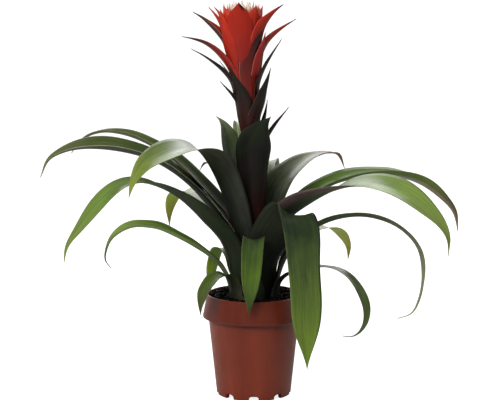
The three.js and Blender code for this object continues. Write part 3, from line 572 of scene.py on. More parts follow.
LEAVES = [
    dict(name="leaf_front_left_low", turn=222, ring=0, leave=127.5, wrap=42,
         path=[[36, 143.5], [43, 153.5], [53.5, 158.5], [67, 155.5], [79, 146.5], [87.5, 132.5],
               [90.5, 112.5]],
         widths=[24, 27, 27, 19], channel=[45, 35, 30], roll=[0, 0, -5, -10],
         top=["3c4a22", "4c6026", "4c5a26", "4c4c28"], back=["333526", "40482a", "444a2a", "484428"]),
    dict(name="leaf_right_low", turn=332, ring=0, leave=125.5, wrap=45,
         path=[[36, 144.5], [49, 158], [71, 167.5], [94, 171.5], [113, 171], [129, 164], [142, 152.5],
               [150.5, 138.5], [155, 123.5], [154, 107.5], [147, 95.5], [136, 87.5], [122, 86.5]],
         widths=[20, 20, 21, 15], channel=[50, 15, 15, 25], roll=[0, -4, 15, 20],
         top=["22271a", "36421f", "566a2e", "74805a"], back=["24231d", "3a3d2c", "565c3c", "747464"]),
    dict(name="leaf_back_left_low", turn=130, ring=0, leave=131.5, wrap=42,
         path=[[44, 156.5], [50, 170.5], [60, 179], [71, 176.5], [80, 163.5], [88, 137.5], [92.5, 107.5]],
         widths=[24, 25, 24, 17], channel=[50, 25, 15],
         top=["4a5c26", "5d7a2c", "7c9433", "8c9a3c"], back=["4c5a2c", "66803a", "84963f", "8c9a3c"]),
    dict(name="leaf_front_low", turn=264, ring=1, leave=153.5, wrap=34,
         path=[[36, 181.5, 2], [44, 201.5, 4], [55, 207.5, 5], [65, 195.5, 4.5], [71, 159.5, 3],
               [73, 113.5]],
         widths=[19, 28, 29, 22], channel=[45, 40, 20],
         top=["222a1b", "283820", "567026", "37451f"], back=["20261a", "2c3822", "4c6230", "46562a"]),
    dict(name="leaf_back_right_low", turn=60, ring=1, leave=141.5, wrap=46,
         path=[[41, 159.5], [54, 170.5], [72, 181.5], [98, 181.5], [120, 168.5], [132, 143.5]],
         widths=[24, 25, 23, 16], channel=[50, 35, 25],
         top=["3a4c22", "54702a", "7a8f34", "8a9440"], back=["3c4a26", "5c7436", "7a8c3c", "86903f"]),
    dict(name="leaf_left_thin", turn=186, ring=1, leave=129.5, wrap=36,
         path=[[39, 156], [54, 174.5], [78, 191.5], [103, 205.5], [122, 214], [137, 217], [152, 217.5],
               [167.5, 212], [180.5, 201.5], [187, 188], [188.5, 175.5], [181, 163.5]],
         widths=[20, 23, 29, 22], channel=[55, 55, 40], roll=[0, -6, -10, 0],
         top=["46562a", "688438", "80964a", "4c5840"], back=["4a5438", "74864a", "94a07c", "33322a"]),
    dict(name="leaf_right_slender", turn=1, ring=2, leave=143.5, wrap=50,
         path=[[38, 168.5], [52, 192.5], [83, 216], [115, 226.5], [147, 226.5], [182.5, 213],
               [206.5, 187.5], [213.5, 150.5], [208.5, 118], [200, 102], [181, 94.5]],
         widths=[32, 23, 20, 24], channel=[55, 45, 40], roll=[0, 0, 20],
         top=["2e3a22", "4a5a30", "76825a", "848a60"], back=["34362a", "585e48", "84866e", "8a8878"]),
    dict(name="leaf_back_left_mid", turn=140, ring=2, leave=153.5, wrap=54,
         path=[[46, 203.5], [72, 229.5], [97, 246.5], [118, 250], [134, 243.5], [144, 226.5],
               [147.5, 197.5]],
         widths=[22, 20, 34, 33], channel=[50, 25, 12],
         top=["1e2616", "2c3a1c", "8a9c50", "8e9048"], back=["20281a", "303e20", "a0ae60", "8a8848"]),
    dict(name="leaf_back_right_mid", turn=46, ring=3, leave=149.5, wrap=44,
         path=[[38, 171.5], [55, 181.5], [86, 190.5], [119, 197.5], [139, 197.5], [157, 191.5],
               [172, 181], [182.5, 165], [182.5, 146]],
         widths=[26, 26, 28, 26], channel=[50, 25, 12], roll=[0, 0, -8],
         top=["2f3c20", "647c34", "98a866", "9e9e58"], back=["343c28", "74844e", "9ea870", "989056"]),
    dict(name="leaf_left_droop", turn=208, ring=3, leave=149.5, wrap=56,
         path=[[41, 193.5], [52, 209.5], [66, 223.5, 1], [84, 241.5, 2], [104, 258, 2], [127, 271.5, 1],
               [146, 279], [160, 281.5], [175, 280.5], [190, 274.5], [213, 256.5], [238, 229.5],
               [253.5, 209.5], [259, 186.5]],
         widths=[52, 50, 34, 27], channel=[50, 32, 25], roll=[10, 0, -20, -25],
         top=["222a1a", "44532c", "6a8438", "727e40"], back=["20261a", "38422a", "6c785a", "7c8058"]),
    dict(name="leaf_front_right_broad", turn=285, ring=4, leave=155.5, wrap=54,
         path=[[34, 183.5, 3], [42, 203.5, 8], [54, 224.5, 16], [61, 234.5, 22], [68, 239.5, 28],
               [75, 236, 32], [79, 223.5, 36.5], [81, 183.5, 39.5], [80, 131.5, 43.5], [77, 43.5, 47]],
         widths=[46, 54, 54, 44, 37], channel=[45, 13, 14, 16], roll=[-20, -15, -4, 0],
         top=["2a3220", "36432c", "688034", "7c9434"], back=["1e211a", "2a3022", "3c4a28", "566a30"]),
    dict(name="leaf_back_far", turn=122, ring=4, leave=163.5, wrap=54,
         path=[[55, 235.5], [74, 260.5], [94, 278.5], [109, 284.5], [124, 282.5], [139, 271.5]],
         widths=[33, 30, 24, 16], channel=[50, 40, 30],
         top=["2a341f", "3c4c28", "4e5f30", "3c3a24"], back=["2c3024", "4a5240", "5d6050", "3a3226"]),
    # One half of its back is painted green and the other purplish grey with a paler band: partly the back's
    # own purple, partly painted light and shade of the two halves and a painted sheen.
    dict(name="leaf_right_arch", turn=326, ring=5, leave=167.5, wrap=56,
         path=[[33, 217.5], [47, 232.5], [62, 243.5], [82, 255], [105, 265.5], [132, 275], [160, 281],
               [181, 281.5], [201, 278], [225, 268.5], [248, 254], [263.5, 240.5], [272.5, 225.5],
               [274, 202.5]],
         widths=[46, 51, 56, 38], channel=[45, 28, 20], roll=[-18, 7, 18, 14],
         top=["262e1e", "4a5e2c", "7c9442", "7c8c40"], back=["222a1a", "42543a", "4a5a38", "6c7440"],
         painted_light_half=["2e2422", "665654", "5c5046", "6c7440"], painted_light_half_from=-0.16, gloss_from=0.5),
    dict(name="leaf_left_long", turn=187, ring=5, leave=167.5, wrap=56,
         path=[[34, 208.5], [45, 224.5], [60, 243.5], [79, 265.5], [103, 286], [131, 302.5], [159, 312],
               [193, 317.5], [219.5, 317.5], [240.5, 312.5], [257, 303], [269, 280]],
         widths=[38, 46, 46, 41], channel=[45, 40, 58, 40], roll=[0, -8, -13, -8],
         top=["1c2416", "2c3a1c", "4a5a28", "62683c"], back=["20261a", "343a2a", "575449", "6f6f50"],
         margin="d4d4ca", pale_from=0.05, gloss_from=0.5),
    # One half of its back is painted green and the other grey to pinkish white: painted light and shade of
    # the two halves and a painted sheen.
    dict(name="leaf_right_high", turn=24, ring=6, leave=173.5, wrap=58,
         path=[[34, 211.5], [52, 229], [80, 250], [105, 261.5], [129, 267.5], [155, 270], [182, 270],
               [209, 267], [238.5, 257], [268.5, 238], [291.5, 215.5], [300.5, 186]],
         widths=[33, 41, 54, 46], channel=[50, 45, 45],
         top=["2a341f", "506a26", "5e7030", "6c6a48"], back=["3a322c", "6c6c50", "a89c90", "7d6660"],
         painted_light_half=["3a402a", "5a7030", "66783a", "6c5a46"]),
    dict(name="leaf_left_high", turn=163, ring=6, leave=175.5, wrap=54,
         path=[[31, 220.5], [51, 244.5], [72, 266.5], [94, 286], [119, 303.5], [147, 317.5],
               [175, 326.5], [204, 329], [226, 323], [240, 312.5], [251, 298.5]],
         widths=[38, 41, 38, 26], channel=[45, 36, 50, 45], roll=[0, 0, -4],
         top=["221e16", "2a3618", "4a5c26", "6a6a44"], back=["3c1a1a", "42342a", "6c6a50", "7c7660"],
         gloss_from=0.62),
    dict(name="leaf_back_right_high", turn=80, ring=7, leave=185.5, wrap=58,
         path=[[36, 219.5], [60, 251.5], [85, 273.5], [112, 285.5], [136, 277.5], [154, 253.5],
               [162, 223.5]],
         widths=[34, 32, 28, 20], channel=[50, 40, 30],
         top=["2a3320", "43542c", "65734a", "7c845c"], back=["343a2c", "5a6148", "8a8f78", "8a8a70"]),
    # The grey on its back is partly painted sheen.
    dict(name="leaf_front_left_broad", turn=225, ring=7, leave=187.5, wrap=58,
         path=[[27, 223.5, -4], [37, 257.5, -8], [50.5, 285.5, -9], [68.5, 305, -6], [88, 317.5, -2],
               [106, 322.5], [128, 323], [156, 318.5], [180, 310.5], [193.5, 300], [203, 287.5],
               [209.5, 271]],
         widths=[40, 50, 60, 42], channel=[45, 30, 22], roll=[0, -4, -16, -18],
         top=["20261a", "2e3a22", "5a7030", "7f8c3a"], back=["20231d", "3e4038", "585c46", "747e3c"],
         pale_from=0.55, gloss_from=0.22),
    # The pale cream on its back towards the tip is partly the dry tip's own colour and partly painted
    # highlight.
    dict(name="leaf_right_upright", turn=40, ring=8, leave=191.5, wrap=48,
         path=[[24, 215.5], [32, 240.5], [44, 263.5, -1], [63, 281.5, -2], [84, 292.5, -2],
               [103, 297.5, -1], [123, 299.5], [143, 296], [157, 275.5]],
         widths=[56, 65, 50, 24], channel=[50, 35, 30],
         top=["1f241a", "2f3826", "6a7258", "74584a"], back=["23231e", "3a4032", "a2a28c", "826250"]),
    dict(name="leaf_back_left_upright", turn=146, ring=9, leave=201.5, wrap=48,
         path=[[19, 235.5], [28, 273.5], [38, 307.5], [44.5, 329.5], [50, 343.5], [60, 353.5]],
         widths=[46, 54, 58, 48], channel=[50, 40, 32],
         top=["181b14", "20291a", "2c3a1c", "6c785a"], back=["2a2e26", "40463a", "5c6354", "8c9080"]),
    dict(name="leaf_back_upright", turn=102, ring=10, leave=205.5, wrap=56,
         path=[[17, 253.5], [21, 288.5], [26, 312.5], [36, 330.5], [54, 340.5], [78, 336.5],
               [100, 317.5], [116, 291.5]],
         widths=[36, 38, 34, 24], channel=[50, 35, 25],
         top=["3c4630", "6c7858", "8c9470", "8a9068"], back=["3c4430", "6a735a", "8a9074", "8a9070"]),
    dict(name="leaf_front_clasping", turn=270, ring=10, leave=209.5, wrap=60,
         path=[[16, 253.5, -2], [18, 293.5, -2.5], [20, 321.5, -0.5], [23, 342.5, 8.5],
               [26, 357.5, 20.5]],
         widths=[40, 39, 42, 46], channel=[50, 45, 40],
         top=["1c1f17", "222a1b", "2c3822", "3c4630"], back=["2c1614", "291513", "161612", "222a1a"],
         pale_from=0.8),
]


def leaf_shape(leaf):
    """The blade of one leaf, and its length and greatest width in millimetres."""
    ring_radius = ROSETTE_OUTER_RADIUS - leaf["ring"] * RING_SPACING
    heights = [between(SHEATH_FOOT, leaf["leave"], share) for share in (0, 0.5, 1)]
    sheath = upright([[ring_radius * (1 + RING_SPREAD * (up - WELL_FLOOR)), up] for up in heights])
    points = np.concatenate([sheath, upright(leaf["path"])])
    length = length_of(points)
    leave_share = length_of(sheath) / length
    share = np.linspace(0, 1, LEAF_STEPS + 1)
    strap_share = (share - leave_share) / (1 - leave_share)
    wrap_width = ring_radius * math.radians(leaf["wrap"])
    strap = along([*leaf["widths"], 0], strap_share) / 2
    half_width = between(wrap_width, strap, smoothstep(share, 0.3 * leave_share, 1.5 * leave_share))
    free = np.maximum(half_width, 1) / np.radians(along(leaf["channel"], strap_share))
    radius = between(distance_out(points, share), free, smoothstep(share, leave_share, 2 * leave_share))
    thickness = between(SHEATH_THICKNESS, STRAP_THICKNESS, smoothstep(share, 0, 2 * leave_share))
    roll = along([0, *leaf.get("roll", [0, 0, 0])], strap_share)
    shape = blade(points, leaf["turn"], half_width, radius, thickness, roll=roll, keel=RIB_DEPTH,
                  wave=MARGIN_WAVE, axis_x=ROSETTE_X)
    return shape, length, max(leaf["widths"])


def blade_marks(tree, veins_scale, patches_scale, drift):
    """What a blade's tints hang on, read off its UV map.

    The place is the share up the blade, moved by the patches so that no tint ends in a line.
    """
    marks = SimpleNamespace(uv=node(tree, "UVMap", uv_map="blade"))
    marks.u, marks.up, _ = node(tree, "SeparateXYZ", {"Vector": marks.uv}).outputs
    folded = node(tree, "Math", {0: marks.u, 1: 2}, operation="MODULO")
    across = node(tree, "Math", {0: folded, 1: 1}, operation="PINGPONG")
    marks.is_back = node(tree, "Math", {0: folded, 1: 1}, operation="GREATER_THAN")
    marks.from_rib = node(tree, "Math", {0: across, 1: 0.5}, operation="SUBTRACT")
    marks.to_margin = node(tree, "Math", {0: marks.from_rib}, operation="ABSOLUTE")
    veins_at = node(tree, "Mapping", {"Vector": marks.uv, "Scale": veins_scale})
    marks.veins = node(tree, "TexNoise", {"Vector": veins_at, "Scale": 1, "Detail": 2})
    patches_at = node(tree, "Mapping", {"Vector": marks.uv, "Scale": patches_scale})
    marks.patches = node(tree, "TexNoise", {"Vector": patches_at, "Scale": 1, "Detail": 4})
    shift = node(tree, "MapRange", {"Value": marks.patches, **spread(0.3, 0.7, -drift, drift)})
    marks.place = node(tree, "Math", {0: marks.up, 1: shift}, operation="ADD")
    return marks


def thin_tissue(tree, colour, bump, thinness, finish, glow):
    """Plant tissue: a waxy skin with this finish, and light of a warmer tint that comes through it."""
    skin = node(tree, "BsdfPrincipled", {"Base Color": colour, "IOR": 1.42, "Normal": bump, **finish})
    warmer = node(tree, "HueSaturation", {"Color": colour, **glow})
    through = node(tree, "BsdfTranslucent", {"Color": warmer, "Normal": bump})
    surface(tree, node(tree, "MixShader", {"Fac": thinness, 1: skin, 2: through}))


def leaf_skin(name, length, width, top, back, painted_light_half=None, painted_light_half_from=-0.2, margin="8f9478",
              pale_from=0.42, gloss_from=0.38):
    """Living leaf: a smooth cuticle over parallel veins, and a greyer back, partly grey scales and partly
    painted sheen.
    """
    made, tree = new_material("guzmania_" + name)
    marks = blade_marks(tree, (width / 0.9, length / 60, 1), (width / 22, length / 35, 1), 0.06)
    streaks_at = node(tree, "Mapping", {"Vector": marks.uv, "Scale": (width / 2.6, length / 90, 1)})
    streaks = node(tree, "TexNoise", {"Vector": streaks_at, "Scale": 1, "Detail": 3})
    top_colour, back_colour, painted_light_half_colour = (
        node(tree, "ValToRGB", {"Fac": marks.place}, stops=list(zip(TINTS_AT, tints)))
        for tints in (top, back, painted_light_half or back)
    )
    # Painted light and shade: one half of the back, on one side of the rib, takes the second set of back
    # colours, for the two halves of a keeled back facing the light differently; partly also the back's own
    # colour.
    if painted_light_half:
        half = node(
            tree, "MapRange", {"Value": marks.from_rib, "From Min": painted_light_half_from, "From Max": painted_light_half_from - 0.1}
        )
        back_colour = node(
            tree, "Mix", {0: half, 6: back_colour, 7: painted_light_half_colour}, data_type="RGBA"
        ).outputs[2]
    face_colour = node(tree, "Mix", {0: marks.is_back, 6: top_colour, 7: back_colour}, data_type="RGBA")
    streaky = node(tree, "Math", {0: marks.veins, 1: streaks}, operation="ADD")
    light = node(tree, "MapRange", {"Value": streaky, **spread(0.74, 1.26, 0.78, 1.26)})
    striped = node(tree, "HueSaturation", {"Value": light, "Color": face_colour.outputs[2]})
    edge = node(tree, "MapRange", {"Value": marks.to_margin, **spread(0.472, 0.496, 0, 0.75)})
    grown = node(tree, "MapRange", {"Value": marks.up, **spread(pale_from, pale_from + 0.25, 0.05, 1)})
    pale = node(tree, "Math", {0: edge, 1: grown}, operation="MULTIPLY")
    colour = node(tree, "Mix", {0: pale, 6: striped, 7: linear(margin)}, data_type="RGBA").outputs[2]
    worn = node(tree, "MapRange", {"Value": marks.patches, **spread(0.3, 0.7, 0.26, 0.38)})
    rough = node(tree, "Math", {0: marks.is_back, 1: 0.16, 2: worn}, operation="MULTIPLY_ADD")
    gloss_span = {"From Min": gloss_from, "From Max": gloss_from + 0.28}
    gloss = node(tree, "MapRange", {"Value": marks.place, **gloss_span, "To Min": 0.12, "To Max": 0.5})
    bump = node(tree, "Bump", {"Height": marks.veins, "Strength": 0.25, "Distance": 0.25 * MM})
    thinness = node(tree, "MapRange", {"Value": marks.place, **spread(0.15, 0.75, 0.08, 0.34)})
    finish = {"Roughness": rough, "Specular IOR Level": gloss}
    thin_tissue(tree, colour, bump, thinness, finish, {"Hue": 0.485, "Saturation": 1.3, "Value": 2.2})
    return made


SKIN_KEYS = ("top", "back", "painted_light_half", "painted_light_half_from", "margin", "pale_from", "gloss_from")
for leaf in LEAVES:
    (leaf_places, leaf_faces, leaf_uvs), leaf_length, leaf_width = leaf_shape(leaf)
    looks = {key: leaf[key] for key in SKIN_KEYS if key in leaf}
    skin = leaf_skin(leaf["name"], leaf_length, leaf_width, **looks)
    leaf_slot = "inner_leaf" if leaf["ring"] > 6 else "leaf"
    add_piece(leaf["name"] + "_blade", leaf_places, leaf_faces, skin, leaf_slot, leaf["name"], uvs=leaf_uvs)


# Flower stalk with its scape bracts
# A leaning stalk from the middle of the rosette. Narrow dark bracts clasp it and leave it one
# above another with long drawn-out tips.
STALK_TOP = 493.5
STALK_LEAN = [1, 18, -16, -15]
STALK_RADIUS = 5.5
HEAD_FOOT = 321.5
DARK_CLASP = [[253.5, 4.6], [299.5, 4.8], [321.5, 8.2], [338.5, 12], [353.5, 13.4], [388.5, 16.2],
              [413.5, 18], [439.5, 24]]
DARK_BRACTS = [
    dict(turn=350, root=291.5, leave=309.5, width=16,
         path=[[18.1, 323.5], [26.6, 336], [37.6, 350.5], [52.1, 368]]),
    dict(turn=15, root=293.5, leave=323.5, width=18,
         path=[[17.6, 339.5], [21.6, 353.5], [24.6, 367.5], [26.1, 376.5]]),
    dict(turn=98, root=293.5, leave=333.5, width=20, path=[[19, 351.5], [26, 367.5], [32, 377.5]]),
    dict(turn=328, root=295.5, leave=353.5, width=32,
         path=[[23.5, 373.5], [29, 389], [34.5, 404], [39, 418.5]]),
    dict(turn=200, root=297.5, leave=355.5, width=24,
         path=[[14.7, 371.5], [20.2, 382], [27.7, 392.5], [34.2, 401]]),
    dict(turn=128, root=297.5, leave=359.5, width=20, path=[[18, 375.5], [23, 387.5], [26, 399.5]]),
    dict(turn=236, root=299.5, leave=383.5, width=34,
         path=[[18.4, 397.5, -3], [19.6, 409.5, -6], [21.4, 420.5, -9]]),
    dict(turn=62, root=299.5, leave=375.5, width=22, path=[[19, 389.5], [24, 401.5], [28, 413.5]]),
    dict(turn=191, root=301.5, leave=383.5, width=26,
         path=[[19.5, 398.5], [27.5, 410.5], [38.5, 421.5], [52.5, 432.5], [67, 441]]),
    dict(turn=150, root=301.5, leave=393.5, width=14, path=[[23, 406.5], [29, 415.5], [36, 424.5]]),
    dict(turn=352, root=301.5, leave=391.5, width=24,
         path=[[21.5, 406], [28.5, 419.5], [37.5, 434.5], [50, 453.5]]),
]
BRACT_STEPS = 40
BRACT_COLUMNS = 21
BRACT_THICKNESS = 0.8
LAYER = 0.1


def stalk_x(up):
    """How far the stalk has leaned to the side at a height."""
    u = np.clip((up - WELL_FLOOR) / (STALK_TOP - WELL_FLOOR), 0, 1.1)
    v = 1 - u
    a, b, c, d = STALK_LEAN
    return a * v**3 + 3 * b * u * v**2 + 3 * c * u**2 * v + d * u**3


def leaned_lathe(profile, sides):
    """A turned shape that leans with the stalk, in millimetres, with an empty UV for each corner."""
    places, faces = turned(profile, sides)
    placed = np.array(places)
    placed[:, 0] += stalk_x(placed[:, 2])
    count = sum(len(face) for face in faces)
    return placed * MM, faces, [(0.5, 0.5)] * count


def bract_shape(bract, clasp, number, layer):
    """A bract clasps the head from root to leave, layer further out, and then follows its path."""
    broad = bract.get("broad", False)
    heights, radii = zip(*clasp)
    hold = [[np.interp(up, heights, radii) + layer, up] for up in
            (bract["root"], (bract["root"] + bract["leave"]) / 2, bract["leave"])]
    points = upright([*hold, *bract["path"]])
    leave_share = length_of(points[:3]) / length_of(points)
    share = np.linspace(0, 1, BRACT_STEPS + 1)
    profile = [0.6, 0.8, 0.95, 1, 0.98, 0.78, 0] if broad else [0.6, 0.85, 1, 1, 0.8, 0.35, 0]
    half_width = bract["width"] / 2 * along(profile, share) + 0.3 * (1 - share)
    free = np.maximum(half_width / math.radians(35 if broad else 62), 1.2)
    leaving = smoothstep(share, leave_share - 0.05, leave_share + 0.22)
    radius = between(distance_out(points, share), free, leaving)
    thickness = np.full_like(share, BRACT_THICKNESS)
    return blade(points, bract["turn"], half_width, radius, thickness, keel=0.3, wave=0.03,
                 steps=BRACT_STEPS, columns=BRACT_COLUMNS, number=number, lean=stalk_x)


def bract_skin(name, inner, outer, margin, foot="50100c", foot_z=0.375, stops_at=(0.2, 0.5, 0.78, 0.98)):
    """A bract: a stiff waxy skin over fine parallel veins, darker towards the height foot_z."""
    made, tree = new_material(name)
    marks = blade_marks(tree, (26, 2.2, 1), (2.2, 3.5, 1), 0.09)
    half = node(tree, "Math", {0: marks.u, 1: 0.5}, operation="MULTIPLY")
    number = node(tree, "Math", {0: half}, operation="FLOOR")
    chance = node(tree, "TexWhiteNoise", {"W": number}, noise_dimensions="1D").outputs["Value"]
    inner_colour, outer_colour = (
        node(tree, "ValToRGB", {"Fac": marks.place}, stops=list(zip(stops_at, tints)))
        for tints in (inner, outer)
    )
    face_colour = node(tree, "Mix", {0: marks.is_back, 6: inner_colour, 7: outer_colour}, data_type="RGBA")
    uneven = node(tree, "Math", {0: marks.veins, 1: chance}, operation="ADD")
    light = node(tree, "MapRange", {"Value": uneven, **spread(0.3, 1.7, 0.78, 1.22)})
    striped = node(tree, "HueSaturation", {"Value": light, "Color": face_colour.outputs[2]})
    edge = node(tree, "MapRange", {"Value": marks.to_margin, **spread(0.455, 0.495, 0, 0.6)})
    edged = node(tree, "Mix", {0: edge, 6: striped, 7: linear(margin)}, data_type="RGBA").outputs[2]
    place = node(tree, "TexCoord").outputs["Object"]
    height = node(tree, "SeparateXYZ", {"Vector": place}).outputs["Z"]
    foot_span = {"From Min": foot_z - 0.03, "From Max": foot_z + 0.035}
    sunk = node(tree, "MapRange", {"Value": height, **foot_span, "To Min": 0.85, "To Max": 0})
    colour = node(tree, "Mix", {0: sunk, 6: edged, 7: linear(foot)}, data_type="RGBA").outputs[2]
    bump = node(tree, "Bump", {"Height": marks.veins, "Strength": 0.3, "Distance": 0.25 * MM})
    thin_tissue(tree, colour, bump, 0.2, {"Roughness": 0.36}, {"Saturation": 1.1, "Value": 1.6})
    return made


stalk_profile = [(0.2, WELL_FLOOR + 0.4), (STALK_RADIUS, WELL_FLOOR + 0.4)]
stalk_profile += [(STALK_RADIUS, up) for up in range(140, 312, 10)]
stalk_profile += [(STALK_RADIUS - 1.5, HEAD_FOOT), (0.2, HEAD_FOOT)]
dark_shapes = [leaned_lathe(stalk_profile, 32)]
for i, bract in enumerate(DARK_BRACTS):
    dark_shapes.append(bract_shape(bract, DARK_CLASP, i, LAYER * (len(DARK_BRACTS) - i)))
dark_material = bract_skin(
    "dark_scape_bract",
    inner=["3c100e", "30120f", "1e1812", "2a2822"],
    outer=["380f0c", "28100c", "181510", "22241d"],
    margin="5e4640",
    foot="3c0f0c",
    foot_z=0.33,
)
dark_places, dark_faces, dark_uvs = joined(dark_shapes)
add_piece("stalk_with_dark_bracts", dark_places, dark_faces, dark_material, "dark_bract",
          "stalk_and_dark_bracts", uvs=dark_uvs)


# Flower head
# A funnel of stiff red bracts, broad at the mouth, on the stalk's end. The lower ones stand
# out with long tips, and some of them are dark green to maroon on the back.
RED_CLASP = [[322.5, 4.6], [338.5, 9.2], [353.5, 10.4], [388.5, 13.6], [413.5, 16.2], [439.5, 21.2],
             [463.5, 24.6], [493.5, 25.4]]
RED_BRACTS = [
    dict(turn=186, root=353.5, leave=401.5, width=32, piece="purple_tailed_bract",
         path=[[20.5, 414.8], [28, 427], [37.5, 438], [49, 446.5], [63, 452], [77, 455.5]]),
    dict(turn=4, root=373.5, leave=423.5, width=28, piece="dark_pointed_bracts",
         path=[[25, 435], [32, 447], [42, 457.5], [53, 466.5], [69, 477.5]]),
    dict(turn=295, root=369.5, leave=421.5, width=28, piece="maroon_backed_bracts",
         path=[[21.6, 435.5, 2], [24.3, 446.5, 7], [26.5, 456.5, 12], [28.3, 465.5, 17]]),
    dict(turn=335, root=378.5, leave=401.5, width=26, piece="deep_red_bract",
         path=[[21, 411.5], [24.5, 425.5], [28, 440.5], [30.5, 452.5], [31.5, 461.5]]),
    dict(turn=202, root=378.5, leave=427.5, width=31,
         path=[[25, 447], [26.5, 460], [30.5, 472], [37, 483], [45, 493]]),
    dict(turn=168, root=388.5, leave=437.5, width=34, piece="maroon_backed_bracts",
         path=[[25.3, 447.5], [32.3, 457.5], [41.3, 467.5], [51.8, 477.5], [63.8, 486]]),
    dict(turn=340, root=403.5, leave=451.5, width=38, piece="dark_pointed_bracts",
         path=[[29.2, 465.5], [36.2, 476.5], [44.7, 486.5], [55.7, 496]]),
    dict(turn=207, root=403.5, leave=451.5, width=32,
         path=[[27, 464.5], [29, 475], [33, 485], [39, 493]]),
    dict(turn=100, root=363.5, leave=413.5, width=26, path=[[24, 427.5], [34, 443.5], [46, 455.5]]),
    dict(turn=55, root=383.5, leave=433.5, width=26, path=[[26, 447.5], [34, 461.5], [40, 475.5]]),
    dict(turn=130, root=393.5, leave=443.5, width=26, path=[[28, 457.5], [36, 469.5], [44, 481.5]]),
    dict(turn=78, root=408.5, leave=455.5, width=28, path=[[29, 469.5], [36, 480.5], [44, 489.5]]),
    dict(turn=262, root=408.5, leave=458.5, width=36, broad=True, piece="dark_pointed_bracts",
         path=[[25.5, 471.5], [26, 484.5], [26.5, 498]]),
]
RED_BRACTS += [
    dict(turn=turn, root=418.5, leave=458.5, width=width, broad=True, path=path)
    for turn, width, path in (
        (222, 28, [[24.6, 469.5], [25.2, 480.5], [27.6, 491.5]]),
        (310, 32, [[25, 469.5], [26, 481.5], [27.5, 494]]),
        (350, 32, [[25, 468.5], [25.4, 480.5], [26, 493.5]]),
        (38, 34, [[25, 468.5], [26, 479.5], [28, 490.5]]),
        (85, 34, [[25, 468.5], [26, 480.5], [28, 492.5]]),
        (132, 34, [[25, 468.5], [26, 479.5], [28, 489.5]]),
        (178, 32, [[25, 468.5], [25.6, 479.5], [27, 489.5]]),
    )
]
HEAD_SKINS = {
    "red_bract_funnel": dict(
        name="red_bract", margin="b45648",
        inner=["9c2014", "b22414", "bc301b", "c0402c"], outer=["941b10", "ae2312", "b82d19", "bc402c"]),
    "dark_pointed_bracts": dict(
        name="dark_pointed_red_bract", margin="ac5648", stops_at=(0.2, 0.6, 0.93, 1.0),
        inner=["9c2014", "ac2413", "b02e1c", "3a1812"], outer=["961c11", "a62111", "a62818", "2e1612"]),
    "purple_tailed_bract": dict(
        name="purple_tailed_bract", margin="8c6660", stops_at=(0.2, 0.56, 0.78, 0.9),
        inner=["9c2014", "aa2818", "6c3432", "463232"], outer=["8a1c13", "962418", "52282a", "3a282c"]),
    "maroon_backed_bracts": dict(
        name="maroon_backed_bract", margin="b8948a", stops_at=(0.1, 0.5, 0.72, 0.92),
        inner=["9c2014", "a62415", "a22a1c", "6c221a"], outer=["7a1b11", "5e1811", "3a1512", "1e1210"]),
    "deep_red_bract": dict(
        name="deep_red_bract", margin="b08084",
        inner=["9c2014", "a62415", "a22a1c", "a83a2c"], outer=["74160f", "861d16", "8c2220", "9c4440"]),
    "pink_tipped_crown": dict(
        name="pink_tipped_bract", margin="d89c90", stops_at=(0.3, 0.7, 0.86, 0.98),
        inner=["a02012", "b02a18", "c4604c", "e8c4b4"], outer=["a02012", "b02a18", "bc3c2a", "dca498"]),
}
TEETH = 22


def crown_tooth(i):
    """A slender bract just inside the funnel's mouth."""
    top = 490 + 3 * (i * 5 % 3)
    tooth = dict(turn=360 * i / TEETH + 7 * (i % 2), root=441.5, leave=464.5, width=13 + i % 3,
                 path=[[22.4, 474.5], [22.6, (474.5 + top) / 2], [23.2, top]])
    return bract_shape(tooth, RED_CLASP, 30 + i, -1.6 - 0.3 * (i % 3))


core_profile = [(0.2, HEAD_FOOT + 0.35)] + [(radius - 0.2, up) for up, radius in RED_CLASP[:-1]]
core_profile += [(23, 464.1), (15, 455.5), (0.2, 453.5)]
head_shapes = {piece: [] for piece in HEAD_SKINS}
head_shapes["red_bract_funnel"].append(leaned_lathe(core_profile, 48))
for i, bract in enumerate(RED_BRACTS):
    shape = bract_shape(bract, RED_CLASP, i, LAYER * (len(RED_BRACTS) - i))
    head_shapes[bract.get("piece", "red_bract_funnel")].append(shape)
head_shapes["pink_tipped_crown"] = [crown_tooth(i) for i in range(TEETH)]
for name, skin in HEAD_SKINS.items():
    head_places, head_faces, head_uvs = joined(head_shapes[name])
    add_piece(name, head_places, head_faces, bract_skin(**skin), "red_bract", "red_bracts", uvs=head_uvs)


# Cream tips
# The innermost bracts and the flower buds, waxy and cream-white, stand in the funnel's mouth.
CREAM_TIPS = [
    (10, 17, 495), (55, 16, 499), (100, 17, 496), (148, 17, 498), (192, 17, 495), (235, 16, 499),
    (280, 15, 497), (325, 16, 500), (30, 7, 501), (150, 7, 500), (270, 6, 502), (212, 18, 492),
    (255, 17, 495), (300, 18, 496), (345, 18, 493), (170, 12, 498), (222, 12, 500), (315, 11, 499),
]


def cream_shape(turn, out, top, number):
    """A small hollow petal that leans outwards."""
    points = upright([[out * 0.3, 458.5], [out * 0.75, 469.5], [out, 481.5], [out + 2, top]])
    share = np.linspace(0, 1, 25)
    half_width = 5.5 * along([0.7, 1, 0.95, 0.6, 0], share) + 0.2 * (1 - share)
    radius = between(7, 4, share)
    return blade(points, turn, half_width, radius, np.full_like(share, 1.0), steps=24, columns=9,
                 number=number, lean=stalk_x)


cream_material = bract_skin(
    "cream_petal",
    inner=["c89880", "d6bca4", "dcd2be", "e6e0d0"],
    outer=["c48a78", "d2a898", "d8c6b8", "e2dace"],
    margin="e8d4ca",
    foot="c0503c",
    foot_z=0.455,
)
heart_profile = [(0.2, 454.5), (10, 455.3), (12, 459.5), (9, 471.5), (0.2, 477.5)]
cream_shapes = [cream_shape(*tip, i) for i, tip in enumerate(CREAM_TIPS)]
cream_places, cream_faces, cream_uvs = joined([leaned_lathe(heart_profile, 24), *cream_shapes])
add_piece("cream_petals", cream_places, cream_faces, cream_material, "flower_tip", "flower_tips",
          uvs=cream_uvs)


